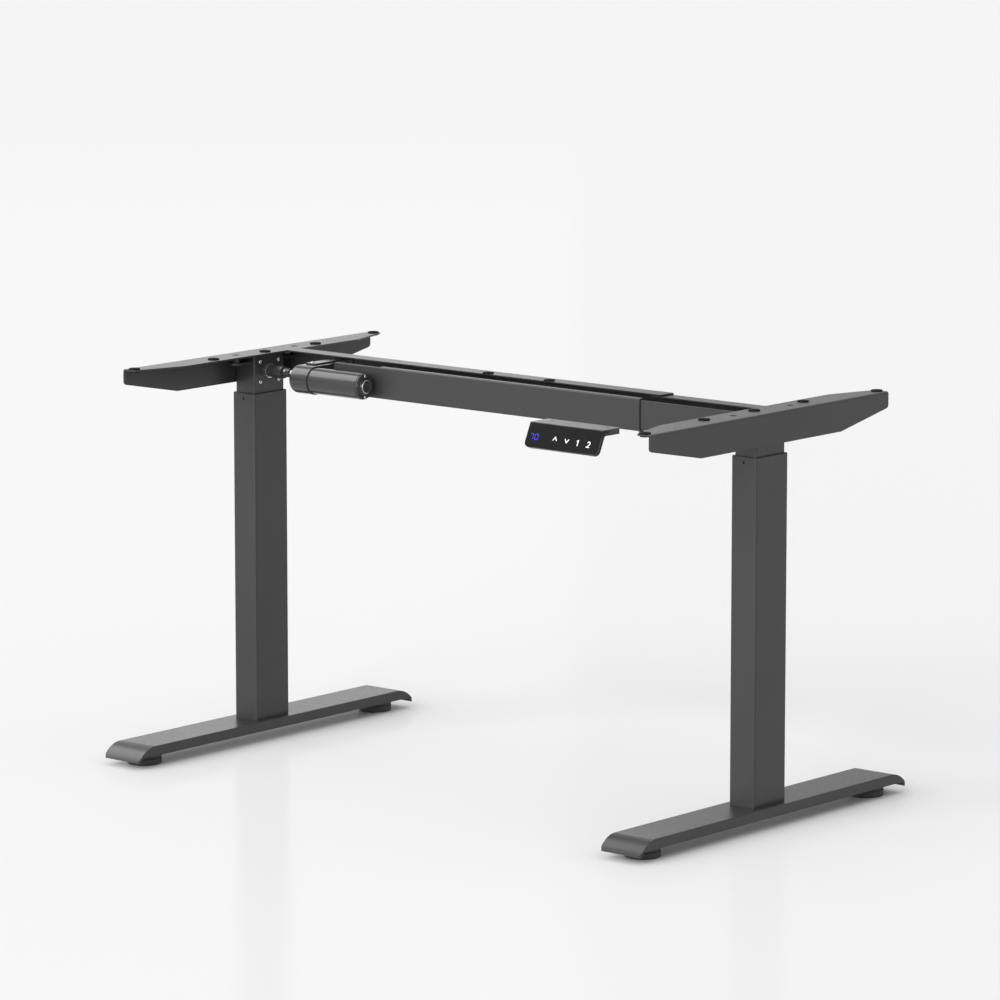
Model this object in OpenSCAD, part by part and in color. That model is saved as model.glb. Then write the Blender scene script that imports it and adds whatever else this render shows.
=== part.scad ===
// Electric standing desk frame, shown at its lowest height.
// Origin on the floor midway between the columns, X along the beam, the user sits on the -Y side.

/* [Overall] */
// Distance between the centre lines of the two columns
leg_spacing = 1126; // [1040:1:1400]
// Height of the bracket tops above the floor, frame lowered
deck_h = 700; // [660:1:760]
// Length of inner tube still inside the outer tube at full height
stage_overlap = 100; // [92:1:200]

/* [Foot] */
// Width of a foot
foot_w = 85; // [74:1:110]
// Half length of the flat top of a foot
foot_flat = 321; // [280:1:360]
// Height of the foot's top above the floor
foot_top = 38; // [34:0.5:44]
// Sheet thickness of the foot
foot_t = 4; // [2.5:0.5:5]
// Depth of the foot's side skirts, from its top
skirt_h = 17.5; // [14:0.5:22]
// Radius of the bent nose
nose_r = 52; // [40:1:60]
// Angle through which the nose bends down
nose_angle = 57; // [40:1:62]
// Corner radius of the nose seen from above
nose_corner_r = 7; // [3:0.5:12]

/* [Levelling pads] */
// Diameter of a levelling pad
pad_d = 60; // [40:1:64]
// Distance of a pad's centre from the end of the foot's flat top
pad_inset = 15.5; // [12:0.5:40]
// Height of a pad's rim
pad_h = 22; // [20:0.5:26]
// Diameter of the levelling stud
stud_d = 8; // [6:1:10]

/* [Columns] */
// Width of the outer tube, along the beam
outer_w = 53.5; // [48:0.5:60]
// Depth of the outer tube, front to back
outer_d = 85.5; // [76:0.5:100]
// Wall of the outer tube
outer_wall = 2; // [1.5:0.1:2.4]
// Outside corner radius of the outer tube
outer_r = 4; // [3:0.5:8]
// Step from the outer tube's outside to the inner tube's outside
stage_step = 4; // [3.6:0.1:5]
// Wall of the inner tube
inner_wall = 2; // [1.5:0.1:2.4]
// Inner tube that shows between bracket and outer tube, frame lowered
rest_gap = 17.5; // [12:0.5:40]

/* [Side brackets] */
// Length of a side bracket, front to back
bracket_len = 645; // [560:1:700]
// Height of the bracket's web at the column
bracket_h = 53.5; // [44:0.5:60]
// Height of the bracket's web at its ends
bracket_end_h = 27.5; // [20:0.5:40]
// Half length of the bracket's deep middle part
bracket_mid = 189.5; // [150:1:220]
// Sheet thickness of the bracket
bracket_t = 3; // [2.5:0.1:4]
// Width of the bracket's flange at the column
flange_w = 56.75; // [50:0.25:64]
// Width of the bracket's flange at its ends
flange_end_w = 27.45; // [24:0.05:34]

/* [Beam] */
// Height of the outer channel
beam_h = 56; // [52:1:60]
// Sheet thickness of the beam channels
beam_t = 2; // [1.5:0.1:2.5]
// Depth of the beam, from front wall to rear wall
beam_d = 92.8; // [90:0.2:100]
// Distance of the beam's front face ahead of the column centre
beam_front = 17; // [16:0.5:17.5]
// Width of the beam's rear top flange
beam_flange = 36; // [30:0.5:42]
// Width of the lip on the beam's front wall
beam_lip = 10; // [6:0.5:12]
// Distance from the gearbox to the start of the outer channel
beam_open = 14; // [4:1:30]
// Distance from the outer channel's right end to the right column's centre
inner_show = 243; // [225:1:280]
// Length of inner channel still inside the outer one at full width
lap_rest = 80; // [60:1:100]

/* [Width setting] */
// How far the frame can be made wider
widen = 300; // [200:1:300]
// How far the frame can be made narrower
narrow = 150; // [80:1:150]

/* [Drive] */
// Depth of the drive shaft's axis below the bracket tops
drive_drop = 33; // [31:0.5:34]
// Distance from the drive shaft's axis forward to the motor's axis
motor_offset = 42; // [42:0.1:44]
// Diameter of the motor's can
motor_d = 46; // [40:1:49]
// Length of the motor's can
motor_len = 112; // [80:1:130]
// Length of the gearbox case
gearbox_len = 45.5; // [40:0.5:56]
// Height of the gearbox case
gearbox_h = 50; // [49:0.5:52]
// Distance of the gearbox's left face from the left column's centre
gearbox_x = 126.5; // [116:0.5:136]
// Width across flats of the hexagonal drive shaft
hex_af = 10; // [9:0.5:11]
// Diameter of the lead screws
screw_d = 16; // [14:1:18]
// Diameter of the shaft coupling sleeves
sleeve_d = 22; // [20:0.5:24]

/* [Handset] */
// Width of the handset
hs_w = 153; // [120:1:170]
// Depth of the handset's top plate
hs_d = 46; // [42:1:60]
// Thickness of the handset's top plate
hs_t = 10; // [8:0.5:12]
// Length of the handset's face, top edge to bottom edge
face_h = 42; // [38:1:52]
// Lean of the handset's face from vertical
face_tilt = 25; // [10:1:35]
// Distance from the right column's centre to the handset's middle
hs_from_leg = 141; // [130:0.5:220]
// Distance of the handset's front edge ahead of the column centre
hs_front = 333; // [300:1:345]
// Travel of the handset's keys
key_travel = 0.6; // [0.3:0.1:1]

/* [Hidden] */
$fn = 48;

// Overrun of every cut
over = 1;
// Gap between pieces that only need to clear each other
gap = 0.3;
// Radial running clearance of a shaft in its bore
run = 0.05;
// Rounding of small moulded and turned edges
edge_r = 1;
// Segments of a rounded outline corner
corner_steps = 5;

// Foot and floor
sheet_bend_r = 3;
skirt_z = foot_top - skirt_h;
nose_reach = foot_flat + nose_r * sin(nose_angle);
foot_under = foot_top - foot_t;
pad_y = foot_flat - pad_inset;
pad_foot_r = 2;
pad_floor = 12;
pad_nut_af = 1.625 * stud_d;
pad_nut_h = 13.5;
pad_well_gap = 5.5;
pad_well_d = pad_nut_af / cos(30) + 2 * pad_well_gap;
foot_bolt_d = 6;
foot_bolt_x = 14;
foot_bolt_y = 28;
foot_bolt_head_af = 10;
foot_bolt_head_h = 4;
bolt_slack = 0.3;
thread_slack = 0.05;

// Columns
inner_w = outer_w - 2 * stage_step;
inner_d = outer_d - 2 * stage_step;
corner_step = 1;
inner_r = outer_r - corner_step;
base_plate_t = 8;
lower_gap = 3;
outer_top = deck_h - bracket_h - rest_gap;
inner_bottom = foot_top + base_plate_t + lower_gap;
inner_top = deck_h - bracket_t;
travel = outer_top - inner_bottom - stage_overlap;
bush_flange = 1;
bush_flange_inset = 0.5;
bush_len = 55;
glide_len = 35;
bush_hole_d = 5;
bush_hole_drop = 10;

// Lift screw
screw_lift = 10;
screw_bottom = foot_top + base_plate_t + screw_lift;
nut_h = 30;
nut_spigot = 10;
nut_base = screw_bottom + travel + nut_spigot;
nut_flange_d = 32;
nut_flange_h = 6;
nut_tube_d = 26;
nut_tube_wall = 2;
journal_d = 12;

// Gear block in the head of each column
drive_z = deck_h - drive_drop;
bevel_teeth = 16;
bevel_r = 12;
bevel_face = 6;
bevel_tip = 1.3;
bevel_root = 1.8;
bevel_hub_d = 18;
bevel_hub_h = 12;
bevel_bore_depth = 11;
bevel_clearance = 3;
block_cavity_r = bevel_r + bevel_clearance;
block_floor = 12;
block_bottom = drive_z - bevel_r - bevel_hub_h - gap - block_floor;
block_roof = 2;
block_slack = 0.1;
bearing_wall = 2;
bearing_d = sleeve_d + 2 * bearing_wall;
bearing_out = 3;
bearing_in_x = inner_w / 2 - inner_wall - block_slack;
thrust_gap = 0.2;
block_screw_y = 24;
block_screw_z = 18;
block_screw_d = 4;
block_screw_head_d = 7.2;
block_screw_head_h = 2.4;

// Ears that carry the brackets
ear_w = 25;
ear_t = 4;
ear_front = 67;
ear_rear_out = 11.2;
ear_x = 4;
dimple_h = 4;
csk_head_d = 13;
csk_screw_d = 6;
ear_nut_af = 13;
ear_nut_h = 6.5;
ear_top = deck_h - bracket_t - dimple_h - ear_nut_h;
dimple_wall = 3;

// Brackets and grommets
bracket_bend_r = 4.5;
relief = bracket_bend_r - bracket_t + gap;
web_out = inner_w / 2 + bracket_t;
flange_taper = 95;
grommet_d = 20;
grommet_neck_d = 14;
grommet_low_d = 17;
grommet_disc_h = 2;
grommet_hole_d = 6;
grommet_mid_y = 134;
grommet_mid_in = 18.4;
grommet_mid_x = flange_w - web_out - grommet_mid_in;
grommet_end_in = 9.2;
grommet_end_x = flange_end_w - web_out - grommet_end_in;
grommet_end_y = bracket_len / 2 - grommet_end_in;

// Beam, in global X
leg_x = leg_spacing / 2;
beam_bottom = deck_h - beam_h;
gearbox_left = gearbox_x - leg_x;
gearbox_right = gearbox_left + gearbox_len;
case_boss = 7;
beam_back = beam_d - beam_front;
ear_rear = beam_back + ear_rear_out;
beam_right = leg_x - inner_show;
beam_left = gearbox_right + case_boss + beam_open;
beam_side_gap = 0.5;
beam_bend_r = 3;
inner_beam_left = beam_right - widen - lap_rest;
inner_flange_in = 20;
slide_in = 19;
slide_x = beam_right - slide_in;
slide_y_front = 12;
slide_y_rear = 50;
slide_d = 6;
slide_slot_d = 7;
slide_washer_d = 18;
slide_washer_h = 1.5;
slide_head_d = 11;
slide_head_h = 3.5;
slide_nut_h = 5;
lip_start = 106;
front_corner_r = 8;
beam_grommet_x = 69;
beam_grommet_y = 8;
beam_neck_d = 12;

// Drive line, in global X
gearbox_edge_r = 10;
case_boss_d = 32;
gear_module = 1.5;
gear_teeth = round(motor_offset / gear_module);
gear_pitch_r = motor_offset / 2;
gear_real_module = motor_offset / gear_teeth;
gear_addendum_share = 0.95;
gear_dedendum_share = 1.2;
gear_w = 14;
gear_in = 14;
gear_side_gap = 0.5;
gear_x = gearbox_left + gear_in + gear_side_gap;
gear_backlash = 0.12;
gear_tip_r = gear_pitch_r + gear_addendum_share * gear_real_module;
case_cavity_slack = 0.4;
hub_d = 18;
hub_out = 2;
motor_shaft_d = 10;
motor_shaft_end = 10;
motor_left = gearbox_right;
motor_right = motor_left + motor_len;
cap_h = 4;
cap_inset = 0.6;
cap_boss_d = 25;
cap_boss_h = 5;
cap_screw_r = 18.5;
cap_screw_head_d = 5.4;
cap_screw_head_h = 1.9;
cap_screw_d = 3;
cap_screw_len = 11;
cable_hole_d = 6;
cable_hole_depth = 8;
strap_w = 20;
strap_t = 2.5;
strap_x = 22;
strap_front = 30;
strap_drop = 22;
strap_screw_in = 6;
strap_screw_len = 8;
strap_screw_y = strap_screw_in - strap_front;
strap_screw_z = gearbox_h / 2 - strap_drop / 2;
hex_slack = 0.1;
pinion_out = 15;
pinion_end = inner_w / 2 + pinion_out;
coupling_web = 4;
coupling_deep = pinion_end + coupling_web;
sleeve_len = 37;
sleeve_end = inner_w / 2 + sleeve_len;
collar_d = 16;
collar_len = 15;
collar_end = sleeve_end + collar_len;
grub_d = 4;
grub_angle = 30;
shaft_free = 20;
hex_tube_wall = 1.1;
hex_tube_d = (hex_af + 2 * hex_slack) / cos(30) + 2 * hex_tube_wall;

// Handset
hs_x = leg_x - hs_from_leg;
hs_corner_r = 8;
hs_rear_r = 4;
hs_shell_t = 8;
panel_t = 1.5;
panel_rim = 1;
hs_hole_in = 18.5;
hs_hole_pitch = hs_w - 2 * hs_hole_in;
hs_hole_d = 4.5;
hs_hole_back = 34;
hs_socket_w = 12;
hs_socket_h = 6;
hs_socket_depth = 9;
key_w = 15;
key_h = 14;
key_t = 3;
key_gap = 0.15;
key_place_shares = [0.405, 0.555, 0.701, 0.845];
key_drop = 25;
key_corner_r = 2;

function unit(v) = v / norm(v);

// Arc of points that rounds the corner at b between a and c
function corner_arc(a, b, c, r) =
    let (u = unit(a - b), v = unit(c - b), half = acos(u * v) / 2)
    let (mid = b + unit(u + v) * r / sin(half))
    let (p = b + u * r / tan(half) - mid, q = b + v * r / tan(half) - mid)
    let (turn = 180 - 2 * half, way = cross(p, q) > 0 ? 1 : -1)
    [for (i = [0 : corner_steps]) let (t = way * turn * i / corner_steps)
        mid + [p.x * cos(t) - p.y * sin(t), p.x * sin(t) + p.y * cos(t)]];

// Outline with every corner rounded by its own radius, 0 keeps it sharp
function rounded(pts, radii) =
    let (n = len(pts))
    [for (i = [0 : n - 1]) each radii[i] == 0 ? [pts[i]]
        : corner_arc(pts[(i + n - 1) % n], pts[i], pts[(i + 1) % n], radii[i])];

function involute(angle) = tan(angle) - angle * PI / 180;

// Half the angle that a spur tooth takes up at radius r
function tooth_half_angle(r, pitch_r, teeth, backlash) =
    let (base_r = pitch_r * cos(20), at_pitch = 90 / teeth - backlash / 2 / pitch_r * 180 / PI)
    at_pitch + (involute(20) - involute(acos(min(1, base_r / r)))) * 180 / PI;

module at_leg(side) translate([side * leg_x, 0, 0]) mirror([side > 0 ? 1 : 0, 0, 0]) children();

// Extrudes an outline drawn in Y and Z along X, from x0 to x1
module along_x(x0, x1) translate([x0, 0, 0]) rotate([90, 0, 90]) linear_extrude(x1 - x0) children();

// Extrudes an outline drawn in X and Z along Y, centred
module along_y(l) translate([0, l / 2, 0]) rotate([90, 0, 0]) linear_extrude(l) children();

module rod_x(x0, x1, d) translate([x0, 0, 0]) rotate([0, 90, 0]) cylinder(d = d, h = x1 - x0);

// Hexagonal bar along X with flats at its top and bottom
module hex_x(x0, x1, af) translate([x0, 0, 0]) rotate([0, 90, 0]) rotate(30)
    cylinder(d = af / cos(30), h = x1 - x0, $fn = 6);

module hex_nut(af, bore, h) difference() {
    cylinder(d = af / cos(30), h = h, $fn = 6);
    translate([0, 0, -over]) cylinder(d = bore, h = h + 2 * over);
}

module rounded_rect(w, d, r) {
    square([w - 2 * r, d], center = true);
    square([w, d - 2 * r], center = true);
    for (x = [-1, 1], y = [-1, 1]) translate([x * (w / 2 - r), y * (d / 2 - r)]) circle(r);
}

module rect_tube(w, d, wall, r, l) linear_extrude(l) difference() {
    rounded_rect(w, d, r);
    rounded_rect(w - 2 * wall, d - 2 * wall, max(r - wall, wall / 4));
}

// Pan head screw, head upwards with its seat at z = 0
module pan_screw(head_d, head_h, d, l) {
    r = min(edge_r, head_h / 2);
    rotate_extrude() difference() {
        union() {
            square([head_d / 2, head_h - r]);
            square([head_d / 2 - r, head_h]);
            translate([head_d / 2 - r, head_h - r]) circle(r);
        }
        translate([-over, head_h - r / 2]) square([head_d / 5 + over, r]);
    }
    translate([0, 0, -l]) cylinder(d = d, h = l);
}

// Foot: one pressed sheet with side skirts and two noses bent down

module nose_strip(r_out, r_in) for (s = [0, 1]) mirror([s, 0]) translate([foot_flat, foot_top - nose_r])
    intersection() {
        difference() {
            circle(r_out, $fn = 96);
            circle(r_in, $fn = 96);
        }
        polygon([[0, 0], [0, 2 * nose_r], 2 * nose_r * [sin(nose_angle), cos(nose_angle)]]);
    }

module foot_outline() {
    translate([-foot_flat, skirt_z]) square([2 * foot_flat, skirt_h]);
    for (s = [0, 1]) mirror([s, 0]) intersection() {
        translate([foot_flat, foot_top - nose_r]) circle(nose_r, $fn = 96);
        translate([foot_flat - over, skirt_z]) square([nose_r + over, skirt_h]);
    }
    nose_strip(nose_r, nose_r - foot_t);
}

module foot_cavity() {
    translate([-foot_flat, -foot_top]) square([2 * foot_flat, foot_top + foot_under]);
    for (s = [0, 1]) mirror([s, 0]) translate([foot_flat, foot_top - nose_r])
        intersection() {
            circle(nose_r - foot_t, $fn = 96);
            translate([-over, -nose_r]) square([nose_r + over, 2 * nose_r]);
        }
}

module foot_plan() rounded_rect(foot_w, 2 * nose_reach, nose_corner_r);

module foot_section() {
    translate([0, foot_top / 2 - foot_top]) rounded_rect(foot_w, 3 * foot_top, sheet_bend_r);
}

module foot() {
    difference() {
        intersection() {
            along_x(-foot_w / 2, foot_w / 2) foot_outline();
            translate([0, 0, -foot_top]) linear_extrude(3 * foot_top) foot_plan();
            along_y(3 * foot_flat) foot_section();
        }
        along_x(foot_t - foot_w / 2, foot_w / 2 - foot_t) foot_cavity();
        for (x = [-1, 1], y = [-1, 1]) translate([x * foot_bolt_x, y * foot_bolt_y, foot_under - over])
            cylinder(d = foot_bolt_d + 2 * bolt_slack, h = foot_t + 2 * over);
    }
    for (y = [-1, 1]) translate([0, y * pad_y, foot_under - pad_nut_h])
        hex_nut(pad_nut_af, stud_d + 2 * thread_slack, pad_nut_h);
}

module foot_bolts() for (x = [-1, 1], y = [-1, 1]) translate([x * foot_bolt_x, y * foot_bolt_y, foot_under]) {
    translate([0, 0, -foot_bolt_head_h])
        cylinder(d = foot_bolt_head_af / cos(30), h = foot_bolt_head_h, $fn = 6);
    cylinder(d = foot_bolt_d, h = foot_t + base_plate_t - edge_r);
}

module levelling_pad(y) translate([0, y, 0]) {
    rotate_extrude($fn = 72) difference() {
        union() {
            translate([0, pad_foot_r]) square([pad_d / 2, pad_h - pad_foot_r]);
            square([pad_d / 2 - pad_foot_r, pad_h]);
            translate([pad_d / 2 - pad_foot_r, pad_foot_r]) circle(pad_foot_r);
        }
        translate([0, pad_floor]) square([pad_well_d / 2, pad_h]);
    }
    cylinder(d = stud_d, h = foot_under - gap);
}

// Columns

module outer_tube() difference() {
    union() {
        translate([0, 0, foot_top])
            rect_tube(outer_w, outer_d, outer_wall, outer_r, outer_top - bush_flange - foot_top);
        translate([0, 0, foot_top]) linear_extrude(base_plate_t)
            rounded_rect(outer_w - outer_wall, outer_d - outer_wall, outer_r);
    }
    for (x = [-1, 1], y = [-1, 1]) translate([x * foot_bolt_x, y * foot_bolt_y, foot_top - over])
        cylinder(d = foot_bolt_d + 2 * thread_slack, h = base_plate_t + 2 * over);
    for (s = [-1, 1]) translate([0, s * (outer_d - outer_wall) / 2, outer_top - bush_hole_drop])
        rotate([90, 0, 0]) cylinder(d = bush_hole_d, h = outer_wall + 2 * over, center = true);
}

module glide_bush() difference() {
    union() {
        translate([0, 0, outer_top - bush_len]) linear_extrude(bush_len)
            rounded_rect(outer_w - 2 * outer_wall, outer_d - 2 * outer_wall, outer_r - outer_wall);
        translate([0, 0, outer_top - bush_flange]) linear_extrude(bush_flange)
            rounded_rect(outer_w - 2 * bush_flange_inset, outer_d - 2 * bush_flange_inset, outer_r);
    }
    translate([0, 0, outer_top - bush_len - over]) linear_extrude(bush_len + 2 * over)
        rounded_rect(inner_w + 2 * gap, inner_d + 2 * gap, inner_r + gap);
}

module lower_glide() translate([0, 0, inner_bottom]) linear_extrude(glide_len) difference() {
    rounded_rect(outer_w - 2 * outer_wall - 2 * gap, outer_d - 2 * outer_wall - 2 * gap, outer_r - outer_wall);
    rounded_rect(inner_w, inner_d, inner_r);
}

module nut_tube() translate([0, 0, foot_top + base_plate_t]) difference() {
    cylinder(d = nut_tube_d, h = nut_base - foot_top - base_plate_t);
    translate([0, 0, -over])
        cylinder(d = nut_tube_d - 2 * nut_tube_wall, h = nut_base - foot_top - base_plate_t + 2 * over);
}

module screw_nut() translate([0, 0, nut_base]) difference() {
    union() {
        translate([0, 0, -nut_spigot]) cylinder(d = nut_tube_d - 2 * nut_tube_wall, h = nut_spigot + nut_h);
        cylinder(d = nut_flange_d, h = nut_flange_h);
        cylinder(d = nut_tube_d, h = nut_h);
    }
    translate([0, 0, -nut_spigot - over])
        cylinder(d = screw_d + 2 * run, h = nut_spigot + nut_h + 2 * over);
}

// Ear plan: a tab that runs out from the tube's face and ends in a half circle
module ear(reach) {
    translate([ear_x - ear_w / 2, inner_d / 2]) square([ear_w, reach - inner_d / 2]);
    translate([ear_x, reach]) circle(d = ear_w);
}

module ear_with_nut(reach) difference() {
    union() {
        translate([0, 0, ear_top - ear_t]) linear_extrude(ear_t) ear(reach);
        translate([ear_x, reach, ear_top]) cylinder(d = ear_nut_af / cos(30), h = ear_nut_h, $fn = 6);
    }
    translate([ear_x, reach, ear_top - ear_t - over])
        cylinder(d = csk_screw_d + 2 * thread_slack, h = ear_t + ear_nut_h + 2 * over);
}

// Tabs welded across the tube's front and rear, with the nuts that the bracket is screwed to
module ears() {
    ear_with_nut(ear_rear);
    mirror([0, 1, 0]) ear_with_nut(ear_front);
}

// Chamfer that keeps a top edge clear of the curve inside the bracket's bend
module bend_relief() translate([-inner_w / 2, 0, inner_top]) rotate([0, 45, 0])
    cube([relief * sqrt(2), 2 * beam_d, relief * sqrt(2)], center = true);

module inner_tube() difference() {
    translate([0, 0, inner_bottom])
        rect_tube(inner_w, inner_d, inner_wall, inner_r, inner_top - inner_bottom);
    bend_relief();
    translate([grommet_mid_x, 0, inner_top - grommet_disc_h - gap])
        cylinder(d = grommet_low_d + 2 * gap, h = grommet_disc_h + gap + over);
    translate([0, 0, drive_z]) rod_x(inner_w / 2 - inner_wall - over, inner_w / 2 + over, bearing_d + 2 * run);
    for (y = [-1, 1], z = [-1, 1]) translate([0, y * block_screw_y, drive_z + z * block_screw_z])
        rod_x(inner_w / 2 - inner_wall - over, inner_w / 2 + over, block_screw_d + 2 * thread_slack);
}

module gear_block() difference() {
    translate([0, 0, block_bottom]) linear_extrude(inner_top - block_roof - block_bottom)
        rounded_rect(inner_w - 2 * inner_wall - 2 * block_slack,
            inner_d - 2 * inner_wall - 2 * block_slack, inner_r - inner_wall + edge_r);
    translate([0, 0, drive_z - bevel_r - bevel_hub_h - gap])
        cylinder(r = block_cavity_r, h = 2 * bevel_r + bevel_hub_h + gap);
    translate([0, 0, block_bottom - over]) cylinder(d = journal_d + 2 * run, h = block_floor + 2 * over);
    translate([0, 0, drive_z]) rod_x(0, inner_w / 2, 2 * block_cavity_r);
    for (y = [-1, 1], z = [-1, 1]) translate([0, y * block_screw_y, drive_z + z * block_screw_z])
        rod_x(inner_w / 4, inner_w / 2, block_screw_d);
}

module drive_bearing() translate([0, 0, drive_z]) difference() {
    union() {
        rod_x(bearing_in_x, inner_w / 2 + bearing_out, bearing_d);
        rod_x(bearing_in_x - bearing_out, bearing_in_x, 2 * block_cavity_r - 2 * run);
    }
    rod_x(bearing_in_x - bearing_out - over, inner_w / 2, journal_d + 2 * run);
    rod_x(inner_w / 2, inner_w / 2 + bearing_out + over, sleeve_d + 2 * run);
}

module gear_block_screws() for (y = [-1, 1], z = [-1, 1])
    translate([inner_w / 2, y * block_screw_y, drive_z + z * block_screw_z]) rotate([0, 90, 0])
        pan_screw(block_screw_head_d, block_screw_head_h, block_screw_d, inner_w / 4);

// Side brackets

module bracket_section() {
    r = bracket_bend_r;
    low = deck_h - bracket_h;
    pts = [
        [-web_out, low], [bracket_t - web_out, low], [bracket_t - web_out, deck_h - bracket_t],
        [flange_w - web_out, deck_h - bracket_t], [flange_w - web_out, deck_h], [-web_out, deck_h],
    ];
    polygon(rounded(pts, [0, 0, r - bracket_t, 0, 0, r]));
}

module bracket_side() {
    half = bracket_len / 2;
    pts = [
        [-half, deck_h + over], [-half, deck_h - bracket_end_h], [-bracket_mid, deck_h - bracket_h],
        [bracket_mid, deck_h - bracket_h], [half, deck_h - bracket_end_h], [half, deck_h + over],
    ];
    polygon(rounded(pts, [0, nose_corner_r, 0, 0, nose_corner_r, 0]));
}

module bracket_plan() {
    half = bracket_len / 2;
    narrow_x = flange_end_w - web_out;
    wide_x = flange_w - web_out;
    pts = [
        [-web_out - over, -half], [narrow_x, -half], [wide_x, flange_taper - half],
        [wide_x, half - flange_taper], [narrow_x, half], [-web_out - over, half],
    ];
    polygon(rounded(pts, [0, sheet_bend_r, nose_corner_r, nose_corner_r, sheet_bend_r, 0]));
}

function grommet_spots() = concat(
    [for (y = [-1, 0, 1]) [grommet_mid_x, y * grommet_mid_y]],
    [for (y = [-1, 1]) [grommet_end_x, y * grommet_end_y]]);

module bracket() difference() {
    union() {
        intersection() {
            along_y(bracket_len + over) bracket_section();
            along_x(-web_out - over, flange_w) bracket_side();
            translate([0, 0, deck_h - bracket_h - over]) linear_extrude(bracket_h + 2 * over) bracket_plan();
        }
        for (y = [-ear_front, ear_rear]) translate([ear_x, y, deck_h - bracket_t - dimple_h])
            cylinder(d1 = csk_screw_d + 2 * dimple_wall, d2 = csk_head_d + 2 * dimple_wall, h = dimple_h);
    }
    for (y = [-ear_front, ear_rear]) translate([ear_x, y, 0]) {
        translate([0, 0, deck_h - csk_head_d / 2]) cylinder(d1 = 0, d2 = csk_head_d + 2 * over, h = csk_head_d / 2 + over);
        translate([0, 0, ear_top]) cylinder(d = csk_screw_d + 2 * bolt_slack, h = deck_h - ear_top);
    }
    for (p = grommet_spots()) translate([p.x, p.y, deck_h - bracket_t - over])
        cylinder(d = grommet_neck_d, h = bracket_t + 2 * over);
}

module bracket_screws() for (y = [-ear_front, ear_rear]) translate([ear_x, y, 0]) difference() {
    union() {
        translate([0, 0, deck_h - csk_head_d / 2]) cylinder(d1 = 0, d2 = csk_head_d, h = csk_head_d / 2);
        translate([0, 0, ear_top - ear_t - edge_r]) cylinder(d = csk_screw_d, h = deck_h - ear_top + ear_t);
    }
    translate([0, 0, deck_h - edge_r * 2]) cylinder(d = csk_screw_d / 2, h = over + edge_r * 2, $fn = 6);
}

// Rubber bush with a head above and below the sheet that it grips
module grommet(neck_d, sheet) rotate_extrude() difference() {
    union() {
        square([grommet_d / 2 - edge_r, grommet_disc_h]);
        square([grommet_d / 2, grommet_disc_h - edge_r]);
        translate([grommet_d / 2 - edge_r, grommet_disc_h - edge_r]) circle(edge_r);
        translate([0, -sheet]) square([neck_d / 2, sheet]);
        translate([0, -sheet - grommet_disc_h]) square([grommet_low_d / 2, grommet_disc_h]);
    }
    translate([-over, -sheet - grommet_disc_h - over])
        square([grommet_hole_d / 2 + over, sheet + 2 * grommet_disc_h + 2 * over]);
    translate([-over, -sheet * 4]) square([over, sheet * 8]);
}

module bracket_grommets() for (p = grommet_spots()) translate([p.x, p.y, deck_h])
    grommet(grommet_neck_d, bracket_t);

// Beam: an open-topped channel on the left that takes a smaller one on the right

module channel_outline(inset, top, lip, flange) {
    t = beam_t;
    y0 = inset - beam_front;
    y1 = beam_back - inset;
    z0 = beam_bottom + inset;
    r = beam_bend_r;
    pts = [
        [y0, z0], [y1, z0], [y1, top], [y1 - flange, top], [y1 - flange, top - t], [y1 - t, top - t],
        [y1 - t, z0 + t], [y0 + t, z0 + t], [y0 + t, top - t], [y0 + lip, top - t], [y0 + lip, top], [y0, top],
    ];
    b = lip > t ? r : 0;
    polygon(lip > t
        ? rounded(pts, [r, r, r, 0, 0, r - t, r - t, r - t, r - t, 0, 0, b])
        : rounded([for (i = [0 : 7]) pts[i], [y0 + t, top], [y0, top]], [r, r, r, 0, 0, r - t, r - t, r - t, 0, 0]));
}

// Window that frees the ear's tab where the rear wall passes it
module ear_window(side) at_leg(side) translate([ear_x - ear_w / 2 - gap, inner_d / 2, ear_top - ear_t - gap])
    cube([ear_w + 2 * gap, ear_rear, ear_t + 2 * gap + ear_nut_h]);

module strap_wall_hole() translate([gearbox_left + strap_x, beam_back + over, drive_z + strap_screw_z])
    rotate([90, 0, 0]) cylinder(d = block_screw_d + 2 * thread_slack, h = beam_t + strap_t + 2 * over);

// Leaves only the rear wall and its top flange where the channel runs on behind the drive
module beam_outer_end() {
    reach = beam_left + leg_x + web_out;
    translate([-leg_x - web_out, -beam_front - over, beam_bottom - over]) {
        cube([reach, beam_d - beam_bend_r + over, beam_h - beam_bend_r + over]);
        cube([reach, beam_d + 2 * over, beam_bend_r + over]);
    }
    translate([-leg_x - web_out, -beam_front - over, deck_h - beam_bend_r])
        cube([reach, beam_lip + 2 * over, beam_bend_r + over]);
    translate([-leg_x - web_out, beam_t - beam_front, deck_h - beam_bend_r])
        cube([reach + lip_start, beam_lip, beam_bend_r + over]);
}

// Rounds the upper left corner of the front wall
module beam_front_corner() translate([beam_left, beam_t - beam_front + over, deck_h - front_corner_r])
    rotate([90, 0, 0]) linear_extrude(beam_t + 2 * over) difference() {
        translate([-over, 0]) square([front_corner_r + over, front_corner_r + over]);
        translate([front_corner_r, 0]) circle(front_corner_r);
    }

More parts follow.
